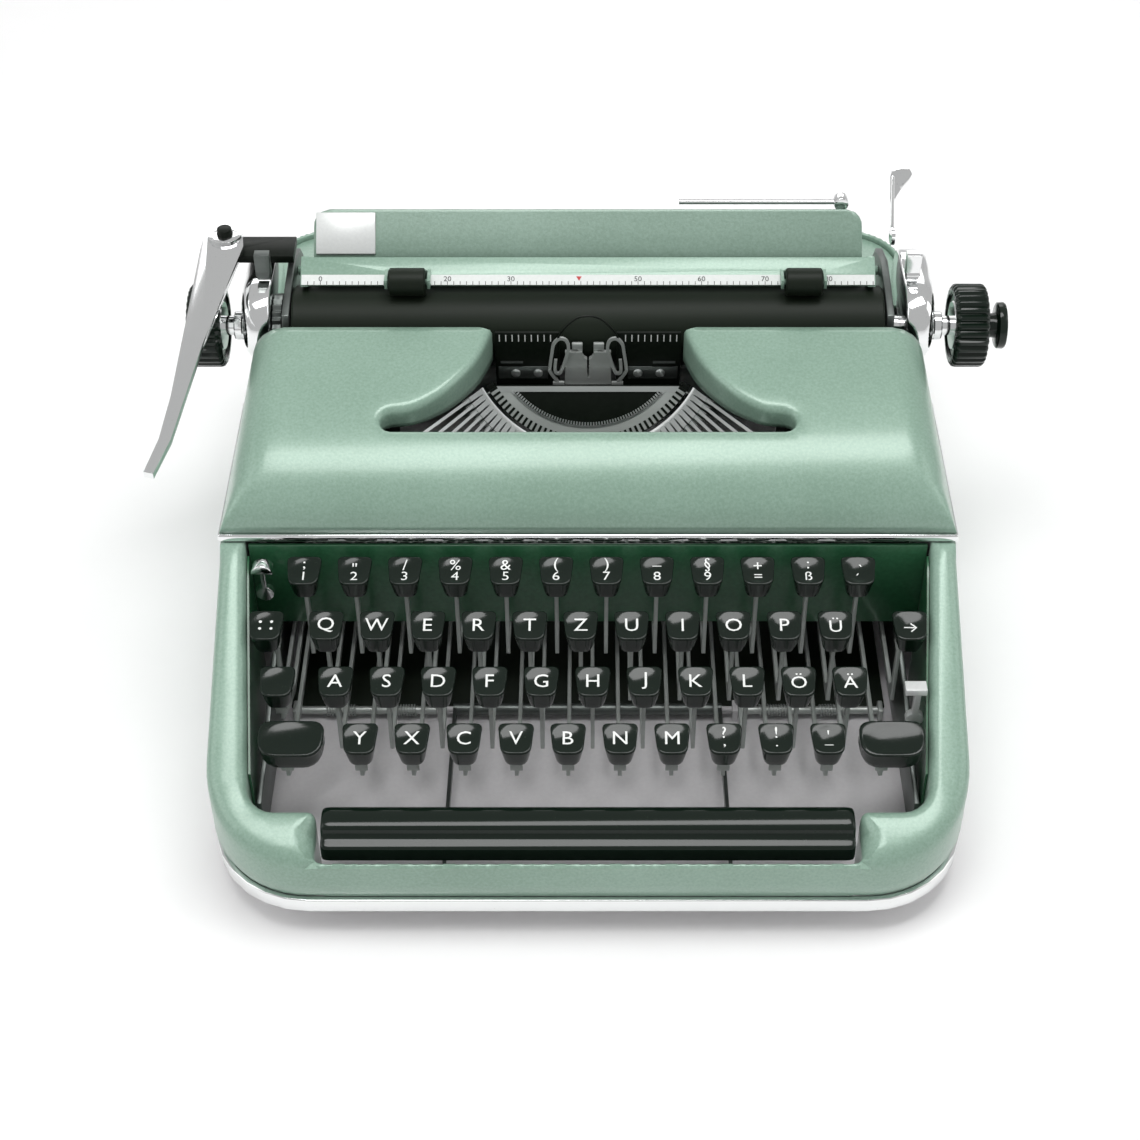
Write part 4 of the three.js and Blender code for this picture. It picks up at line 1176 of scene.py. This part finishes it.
def addTypebar(bm):  # lies along its own plane at the foot of the arc
    stand = math.radians(basket["stand"])
    forward = Vector((0, -math.cos(stand), math.sin(stand)))
    out = Vector((0, math.sin(stand), math.cos(stand)))
    base = Vector((0, -basket["arc"], 3))
    side = [(-0.5, -0.95), (39.2, -0.95), (39.2, 0.95), (37, 1.15), (-0.5, 0.95)]
    root = [(-0.5, -1.2), (9.5, -1.2), (7.5, 1.3), (-0.5, 1.3)]
    for thick, points in (
        (0.95, root), (0.6, side), (0.5, [(38.6, -1), (42, -1), (42, 4.5), (39.2, 4.5), (38.6, 2.2)]),
    ):
        rings = [
            [base + forward * s + out * t + Vector((x, 0, 0)) for s, t in points] for x in (-thick, thick)
        ]
        addLoft(bm, rings)


def makeBasket():
    step = 2 * basket["half"] / (basket["bars"] - 1)
    half = (basket["bars"] - 1) // 2
    for name, first, turnStep in (("typebarsLeft", -basket["half"], step), ("typebarsRight", step, step)):
        bm = bmesh.new()
        addTypebar(bm)
        bmesh.ops.recalc_face_normals(bm, faces=bm.faces)
        replaced = ["typebar_fan"] if name == "typebarsLeft" else []
        repeatPiece(
            name, bm, steel, "machine", half, (0, 0, 0), turn=(0, 0, math.radians(first)),
            turnStep=(0, 0, math.radians(turnStep)), place=basketFrame, replaced=replaced,
        )
    rings = []  # the hanger ring that the bars turn in
    for i in range(49):
        angle = math.radians(270 - basket["half"] - 1 + i * (2 * basket["half"] + 2) / 48)
        ray = Vector((math.cos(angle), math.sin(angle), 0))
        rings.append([
            ray * r + Vector((0, 0, z))
            for r, z in ((48.0, -0.6), (53.0, 0.2), (52.8, 1.0), (51.0, 1.6), (49.0, 1.5), (48.0, 0.8))
        ])
    loftPiece("typebarRing", rings, steel, place=basketFrame)
    reach = math.degrees(math.asin(basket["chord"] / basket["segment"]))
    steps = 172
    rows = []  # the segment, a cut disc with radial slots
    for z, shrink in ((-5.0, 0.0), (-1.3, 0.0), (-1.0, 0.3)):
        row = []
        for i in range(steps + 1):
            angle = math.radians(180 + reach + (180 - 2 * reach) * i / steps)
            depth = 1.5 if i % 4 in (1, 2) and 8 < i < steps - 8 else 0.0
            radius = basket["segment"] - depth - shrink
            row.append((radius * math.cos(angle), radius * math.sin(angle), z))
        rows.append(row)
    # the segment is painted black: painted shade for the shadowed inside of the basket
    loftPiece("segmentBlock", rows, blackPaint, replaced=["segment"], place=basketFrame)
    lipHalf = math.sqrt(basket["segment"] ** 2 - basket["chord"] ** 2)
    lip = [
        (-lipHalf + 0.4, -3.0), (-lipHalf + 4.5, 0.0), (lipHalf - 4.5, 0.0), (lipHalf - 0.4, -3.0),
        (lipHalf - 5, -2.2), (5 - lipHalf, -2.2),
    ]
    rings = [[(x, v - basket["chord"], z) for x, v in lip] for z in (-1.2, -0.35)]
    loftPiece("segmentLip", rings, steel, place=basketFrame)
    rows = []  # the grey band round the segment
    for radius, z in ((basket["bandInner"], -1.1), (basket["bandInner"], -0.5), (46.6, -0.5), (46.6, -1.1)):
        cut = math.degrees(math.asin((basket["chord"] + 2.2) / radius))
        rows.append([(x, y, z) for x, y in arcPoints(0, 0, radius, 180 + cut, 360 - cut, 60)])
    across = [[row[i] for row in rows] for i in range(61)]
    loftPiece("segmentBand", across, leverSteel, place=basketFrame)
    # the first row lays black blocks on the band at each bar's slot: painted shade in the slots
    for name, inner, outer, width, high, finish, count in (
        ("bandSlots", 43.2, 46.7, 0.5, -0.3, blackPaint, basket["bars"]),
        ("segmentTeeth", 37.6, 38.9, 0.3, -0.6, steel, 59), ("bandRim", 39.0, 39.8, 1.15, -0.2, steel, 59),
    ):
        bm = bmesh.new()
        addBlock(bm, (-width, -outer, -1.1), (width, -inner, high), 0)
        reach = 49.0 if count == 59 else basket["half"]
        repeatPiece(
            name, bm, finish, "machine", count, (0, 0, 0), turn=(0, 0, math.radians(-reach)),
            turnStep=(0, 0, math.radians(2 * reach / (count - 1))), place=basketFrame,
        )


makeBasket()
refineNode("typebar_centre", steel, 0.12)
refineNode("card_plate", blackPaint, 0.2)


def screwShape(radius, tall):  # a slotted round head standing along Z
    bm = bmesh.new()
    count = 20
    rows = []
    for size, z in ((1.0, 0.0), (1.0, tall * 0.55), (0.86, tall * 0.9), (0.7, tall)):
        rows.append([(*polar(radius * size, i, count), z) for i in range(count)])
    addLoft(bm, rows)
    top = [v for v in bm.verts if abs(v.co.z - tall) < 1e-6 and abs(v.co.y) < radius * 0.16]
    for vertex in top:
        vertex.co.z -= tall * 0.5
    return facedOut(bm)


def sideBlock(bm, side, low, high, bevel):  # its first values are distances from the centre line
    near, far = sorted((side * low[0], side * high[0]))
    addBlock(bm, (near, *low[1:]), (far, *high[1:]), bevel)


def makeGuideParts():
    low, high = boxMm("card_plate")
    face = low.y - midY
    for name, first in (("cardScrewsLeft", -29.0), ("cardScrewsRight", 20.0)):
        repeatPiece(
            name, screwShape(1.9, 0.9), steel, "machine", 2, (first, face - 0.5, 102.6), (9.0, 0, 0),
            turn=(math.pi / 2, 0.5, 0),
        )
    for name, first in (("cardMarksLeft", -35.2), ("cardMarksRight", 14.9)):
        bm = bmesh.new()
        addBlock(bm, (-0.2, -0.12, -1.6), (0.2, 0.0, 1.6), 0)
        repeatPiece(name, bm, legendWhite, "machine", 9, (first, face, high.z - 2.6), (tenthInch, 0, 0))
    bm = bmesh.new()
    for side in (-1, 1):
        sideBlock(bm, side, (16, face - 0.6, 99.6), (36, face, 105.6), 0.25)
        sideBlock(bm, side, (26, face - 0.9, 107.6), (35, face, 108.1), 0)
    machinePiece("cardScrewBars", bm, darkSteel, "machine")
    guideFace = boxMm("type_guide")[0].y - midY
    plate = [
        (-9.3, 97.0), (9.3, 97.0), (9.1, 113.0), (2.4, 113.0), (2.3, 111.6), (1.5, 110.2), (0.4, 109.5),
        (0.4, 100.6), (-0.4, 100.6), (-0.4, 109.5), (-1.5, 110.2), (-2.3, 111.6), (-2.4, 113.0),
        (-9.1, 113.0),
    ]
    bm = bmesh.new()
    addLoft(bm, [[(x, y, z) for x, z in plate] for y in (guideFace - 0.9, guideFace + 1.0)])
    for side in (-1, 1):
        sideBlock(bm, side, (2.2, guideFace - 0.4, 113.8), (6.4, guideFace + 1.2, 116.8), 0.3)
        sideBlock(bm, side, (2.2, guideFace, 112.4), (4.0, guideFace + 1.0, 114.0), 0)
    machinePiece("typeGuidePlate", facedOut(bm), leverSteel, "machine", ["type_guide"])
    wireY = boxMm("ribbon_vibrator")[0].y - midY + 0.8
    bm = bmesh.new()
    for sign in (-1, 1):
        clip = [
            (11.0, 97.0), (15.0, 103.5), (15.3, 106.0), (14.4, 113.0), (13.6, 117.6), (11.4, 120.2),
            (8.9, 119.6), (7.8, 116.6), (8.2, 113.0), (10.6, 104.6), (12.0, 103.0), (13.2, 104.4),
            (12.9, 110.0),
        ]
        path = spline([(sign * x, z) for x, z in clip], 5)
        rings = []
        for i, (x, z) in enumerate(path):
            ahead, behind = path[min(i + 1, len(path) - 1)], path[max(i - 1, 0)]
            step = Vector((ahead[0] - behind[0], ahead[1] - behind[1])).normalized()
            across = Vector((step.y, -step.x)) * 0.62
            rings.append([
                (x + a * across.x, wireY + b, z + a * across.y)
                for a, b in ((-1, -0.5), (1, -0.5), (1, 0.5), (-1, 0.5))
            ])
        addLoft(bm, rings)
        sideBlock(bm, sign, (9.5, wireY - 0.6, 95.0), (14.2, wireY + 0.6, 99.0), 0.3)
    addBlock(bm, (-15, wireY - 0.6, 94), (15, wireY + 0.6, 96.4), 0.35)
    machinePiece("ribbonVibrator", facedOut(bm), leverSteel, "vibrator", ["ribbon_vibrator"])
    bm = bmesh.new()
    arch = spline(
        [
            (-13.2, 112.0), (-12.6, 118), (-10.4, 123.6), (-6.4, 128.6), (-2.4, 130.9), (2.4, 130.9),
            (6.4, 128.6), (10.4, 123.6), (12.6, 118), (13.2, 112.0),
        ],
        4,
    )
    addTube(bm, [(x, wireY, z) for x, z in arch], 0.42)
    machinePiece("ribbonArch", facedOut(bm), blackPaint, "vibrator")


makeGuideParts()
print("type basket made")

# ---- carriage
rubberLow, rubberHigh = boxMm("platen")
carriage = {"platenHalf": 118.5, "radius": 16.0, "axisY": 48.5, "axisZ": (rubberLow.z + rubberHigh.z) / 2}
axis = (0, carriage["axisY"], carriage["axisZ"])
endOut = carriage["platenHalf"] + 3.8
coverIn = endOut + 4.8
knobIn = coverIn + 20


def makePlaten():
    half, radius = carriage["platenHalf"], carriage["radius"]
    profile = [
        (-half, 4.2), (-half, radius - 0.8), (-half + 0.8, radius), (half - 0.8, radius),
        (half, radius - 0.8), (half, 4.2),
    ]
    turnedPiece("platenRoller", profile, axis, 72, rubber, "platen_group", ["platen"])
    bm = bmesh.new()
    ends = (-knobIn - 0.9, -half + 0.5, half - 0.5, knobIn + 0.9)
    roundProfile(bm, [(x, 4.0) for x in ends], axis, 24)
    for side in (-1, 1):
        collar = ((12.5, 5.4), (13, 5.8), (15.5, 5.8), (16, 5.4))
        roundProfile(bm, [(side * (coverIn + a), radius) for a, radius in collar], axis, 24)
    machinePiece("platenShaft", facedOut(bm), chrome, "platen_group")


def ribbedRing(x, radius, depth, size, ribs=30):
    ring = []
    for i in range(ribs * 6):
        part = (i % 6) / 6
        fall = depth * (0.0 if part < 0.4 else math.sin(math.pi * (part - 0.4) / 0.6))
        ring.append(axisPoint(x, (radius - fall) * size, i, ribs * 6))
    return ring


def axisPoint(x, radius, i, count):
    a, b = polar(radius, i, count)
    return x, axis[1] + a, axis[2] + b


def plainRing(x, radius, count=180):
    return [axisPoint(x, radius, i, count) for i in range(count)]


def makeKnobs():
    for side, name in ((-1, "platen_knob_left"), (1, "platen_knob_right")):
        inner, outer = side * knobIn, side * (knobIn + 13.5)
        step = side * 1.0
        rings = [
            plainRing(inner + step * 0.9, 4.4), plainRing(inner + step * 0.9, 12.6),
            plainRing(inner, 13.2), plainRing(inner, 14.6),
        ]
        rings += [
            ribbedRing(inner + step * a, 16.8, 1.1, b)
            for a, b in ((0.2, 0.93), (0.9, 0.985), (1.8, 1.0), (11.6, 1.0), (12.6, 0.98), (13.3, 0.93))
        ]
        rings += [
            plainRing(outer, 14.0), plainRing(outer - step * 0.9, 12.6),
            plainRing(outer - step * 0.9, 5.6),
        ]
        if side < 0:
            rings[-1] = plainRing(outer - step * 0.9, 0.6)
        loftPiece(name + "_wheel", rings, keyBlack, "platen_group", [name], angle=45)
        inset = [
            (inner + step * a, radius) for a, radius in ((0.35, 4.4), (0.35, 9.6), (1.0, 10.2), (1.0, 4.4))
        ]
        turnedPiece(name + "_inset", inset, axis, 40, chrome, "platen_group")
    end = knobIn + 13.5
    button = [
        (knobIn + 6, 4.9), (end + 3.2, 4.9), (end + 4.5, 5.3), (end + 4.8, 8.6), (end + 5.2, 9.3),
        (end + 7.4, 9.5), (end + 8.2, 9.0), (end + 8.5, 7.6), (end + 8.1, 4.0), (end + 8.0, 0.4),
    ]
    turnedPiece("releaseButton", button, axis, 48, keyBlack, "button", ["platen_release_button"], angle=45)


def makeEndCovers():
    outline = closedSpline([
        (36.4, 107), (35.6, 116), (40, 125.5), (50, 129.8), (62, 129.4), (74.5, 129.8), (83.5, 124.5),
        (87.6, 111), (80.5, 103.4), (62, 101.6), (43, 101.4),
    ], 5)
    for side, name in ((-1, "end_cover_left"), (1, "end_cover_right")):
        x0, x1 = side * coverIn, side * (coverIn + 12)
        centre = Vector((62, 115.5))
        rings = []
        for offset, size in (
            (0.0, 0.93), (0.25, 0.975), (1.0, 1.0), (7.5, 1.0), (9.6, 0.97), (11.2, 0.89), (12.0, 0.76),
        ):
            x = x0 + side * offset
            rings.append([
                (x, centre.x + (p[0] - centre.x) * size, centre.y + (p[1] - centre.y) * size)
                for p in outline
            ])
        loftPiece(name + "_shell", rings, chrome, "carriage", [name], angle=50)
        bm = screwShape(2.4, 0.9)
        outward = Matrix.Rotation(side * math.pi / 2, 4, "Y") @ Matrix.Rotation(0.6, 4, "Z")
        setPlace(bm, Matrix.Translation((x1 - side * 0.3, 72, 116)) @ outward)
        machinePiece(name + "_screw", bm, darkSteel, "carriage")


def makeTable():
    half = 111.0
    side = spline(
        [(66.1, 104), (67.2, 111), (67.1, 120), (65.6, 129), (65.2, 133), (69.6, 138.3), (79.4, 147.4)], 7,
    )
    lengths = measureLine(side)
    total = lengths[-1]
    rows = []
    columns = 90
    for i, (y, z) in enumerate(side):
        above = max(0.0, (lengths[i] - total + 6.5) / 6.5)
        tuck = 6.5 * (1 - math.sqrt(max(0.0, 1 - above ** 2)))
        reach = half - tuck
        rows.append([(reach * (2 * k / columns - 1), y, z) for k in range(columns + 1)])
    bm = bmesh.new()
    made = [[bm.verts.new(p) for p in row] for row in rows]
    for a, b in zip(made, made[1:]):
        for k in range(columns):
            bm.faces.new((a[k], a[k + 1], b[k + 1], b[k]))
    bmesh.ops.recalc_face_normals(bm, faces=bm.faces)
    if sum(f.normal.y for f in bm.faces) > 0:
        bmesh.ops.reverse_faces(bm, faces=bm.faces)
    # the paper table takes the darker mint copy, painted shade on the same paint
    piece = machinePiece("paperTable", bm, mintPaintedShade, "carriage", ["paper_table"], angle=40)
    thick = piece.modifiers.new("sheet", "SOLIDIFY")
    thick.thickness = 1.1 * mm
    thick.offset = -1
    soft = piece.modifiers.new("edge", "BEVEL")
    soft.width = 0.35 * mm
    soft.segments = 2
    soft.limit_method = "ANGLE"
    soft.angle_limit = math.radians(50)
    bm = bmesh.new()
    for sign in (-1, 1):
        addBlock(bm, (sign * 109 - 2, 66.2, 99.7), (sign * 109 + 2, 72, 108), 0.3)
    machinePiece("paperTableFeet", bm, darkSteel, "carriage")


def makeBail():
    bailHalf = 115.0
    refineNode("paper_bail", mint, 0.3)
    strip = [(48.98, 131.44), (52.3, 133.98), (52.1, 134.24), (48.78, 131.7)]
    rollers = []
    for node in ("bail_roller_left", "bail_roller_right"):
        low, high = boxMm(node)
        rollers.append((low.x - midX - 1.4, high.x - midX + 1.4))
    spans = [
        (-bailHalf + 0.4, rollers[0][0]), (rollers[0][1], rollers[1][0]), (rollers[1][1], bailHalf - 0.4),
    ]
    bm = bmesh.new()
    for x0, x1 in spans:
        addStrip(bm, strip, x0, x1)
    machinePiece("bailScale", bm, scaleWhite, "bail")
    lean = math.atan2(134.24 - 131.7, 52.1 - 48.78)
    onStrip = Matrix.Translation((0, 48.78, 131.7)) @ Matrix.Rotation(lean, 4, "X")
    zero, unit = -107.0, tenthInch
    groups = []
    for x0, x1 in spans:
        first, last = math.ceil((x0 + 0.6 - zero) / unit), math.floor((x1 - 0.6 - zero) / unit)
        groups.append((first, last))
    for k, (first, last) in enumerate(groups):
        bm = bmesh.new()
        addBlock(bm, (-0.12, 0.05, 0.0), (0.12, 1.5, 0.06), 0)
        repeatPiece(
            "scaleTicks" + "ABC"[k], bm, markBlack, "bail", last - first + 1, (0, 0, 0), (unit, 0, 0),
            place=Matrix.Translation((zero + first * unit, 0, 0)) @ onStrip,
        )
    bm = bmesh.new()
    for k in range(9):
        x = zero + k * 10 * unit
        if k in (1, 4) or not any(x0 + 1.5 < x < x1 - 1.5 for x0, x1 in spans):
            continue
        addText(bm, str(k * 10), 2.9, (x, 2.5), lambda a, b: onStrip @ Vector((a, b, 0.06)), 0, 1.1)
    machinePiece("scaleNumbers", bm, markBlack, "bail")
    bm = bmesh.new()
    for z in (0.05, 0.09):
        bm.verts.new((-3.6 - 1.1, 3.5, z))
        bm.verts.new((-3.6 + 1.1, 3.5, z))
        bm.verts.new((-3.6, 1.7, z))
    bm.verts.ensure_lookup_table()
    bm.faces.new([bm.verts[i] for i in (3, 5, 4)])
    bm.faces.new([bm.verts[i] for i in (0, 1, 2)])
    for a, b in ((0, 1), (1, 2), (2, 0)):
        bm.faces.new((bm.verts[a], bm.verts[b], bm.verts[b + 3], bm.verts[a + 3]))
    setPlace(bm, onStrip)
    machinePiece("middleMark", facedOut(bm), markRed, "bail")
    for node in ("bail_roller_left", "bail_roller_right"):
        low, high = boxMm(node)
        x0, x1 = low.x - midX, high.x - midX
        centre = (0, (low.y + high.y) / 2 - midY, (low.z + high.z) / 2)
        half = [(0, 1.5), (0, 4.9), (0.6, 5.55), (1.6, 5.6)]
        tyre = [(x0 + a, radius) for a, radius in half] + [(x1 - a, radius) for a, radius in reversed(half)]
        turnedPiece(node + "_tyre", tyre, centre, 40, rubber, bodyOf(node), [node])


makePlaten()
makeKnobs()
makeEndCovers()
makeTable()
makeBail()
refineNode("return_lever", chrome, 0.7, 3)
refineNode("lever_bracket", blackPaint, 0.5)
refineNode("paper_guide", whitePlate, 0.35)
refineNode("paper_support_rod", chrome, 0.3)


def makeReleaseLever():  # a slim arm with a drop-shaped finger plate
    low, high = boxMm("paper_release_lever")
    hub = (low.y + 1.5, low.z + 4.0)
    bm = bmesh.new()
    roundProfile(
        bm, [(low.x, 2.6), (low.x + 0.4, 3.6), (low.x + 1.8, 3.6), (low.x + 2.0, 2.4)],
        (0, hub[0] + 2.4, hub[1]), 24,
    )
    arm = [
        (hub[0], hub[1] - 0.5), (hub[0] + 4, hub[1] + 0.5), (high.y - 4.2, high.z - 3.4),
        (high.y - 6.0, high.z - 2.0),
    ]
    addStrip(bm, arm, low.x + 0.3, low.x + 1.5, bevel=0.25)
    drop = closedSpline([
        (low.x + 0.4, -13.5), (low.x + 1.8, -13.2), (low.x + 4.6, -8.5), (high.x - 1.2, -4.6),
        (high.x - 0.2, -1.8), (high.x - 1.6, -0.15), (low.x + 3.0, 0.0), (low.x + 0.2, -1.6),
        (low.x + 0.1, -6.0),
    ], 5)
    lean = Matrix.Translation((0, high.y - 2.4, high.z - 0.9)) @ Matrix.Rotation(math.radians(-28), 4, "X")
    rings = []
    for offset, size in ((0.0, 0.9), (0.3, 1.0), (1.0, 1.0), (1.3, 0.9)):
        rings.append([
            lean @ Vector((low.x + 4 + (x - low.x - 4) * size, offset - 1.3, -5 + (z + 5) * size))
            for x, z in drop
        ])
    addLoft(bm, rings)
    replaced = ["paper_release_lever"]
    fromBmesh("releaseLeverArm", scaled(facedOut(bm)), chrome, "release_lever", replaced, angle=50)


makeReleaseLever()
refineNode("carriage_release_left", darkSteel, 0.5, 3)
refineNode("carriage_release_right", chrome, 0.5, 3)
refineNode("line_ratchet", darkSteel, 0.2)
refineNode("carriage_frame", darkSteel, 0.4)
refineNode("carriage_sled", steel, 0.3)
print("carriage made")

# ---- what stands inside and below
for node in (
    "margin_stop_left", "margin_stop_right", "carriage_rails", "cross_bar", "side_frame_left",
    "side_frame_right",
):
    refineNode(node, darkSteel, 0.3)
for node in ("mainspring_drum", "bell", "key_lever_shafts"):
    refineNode(node, steel, 0.3)
for node in ("ribbon_spool_left", "ribbon_spool_right"):
    refineNode(node, blackPaint, 0.25)
for node in ("foot_front_left", "foot_front_right", "foot_rear_left", "foot_rear_right"):
    refineNode(node, rubber, 0.6, 3)
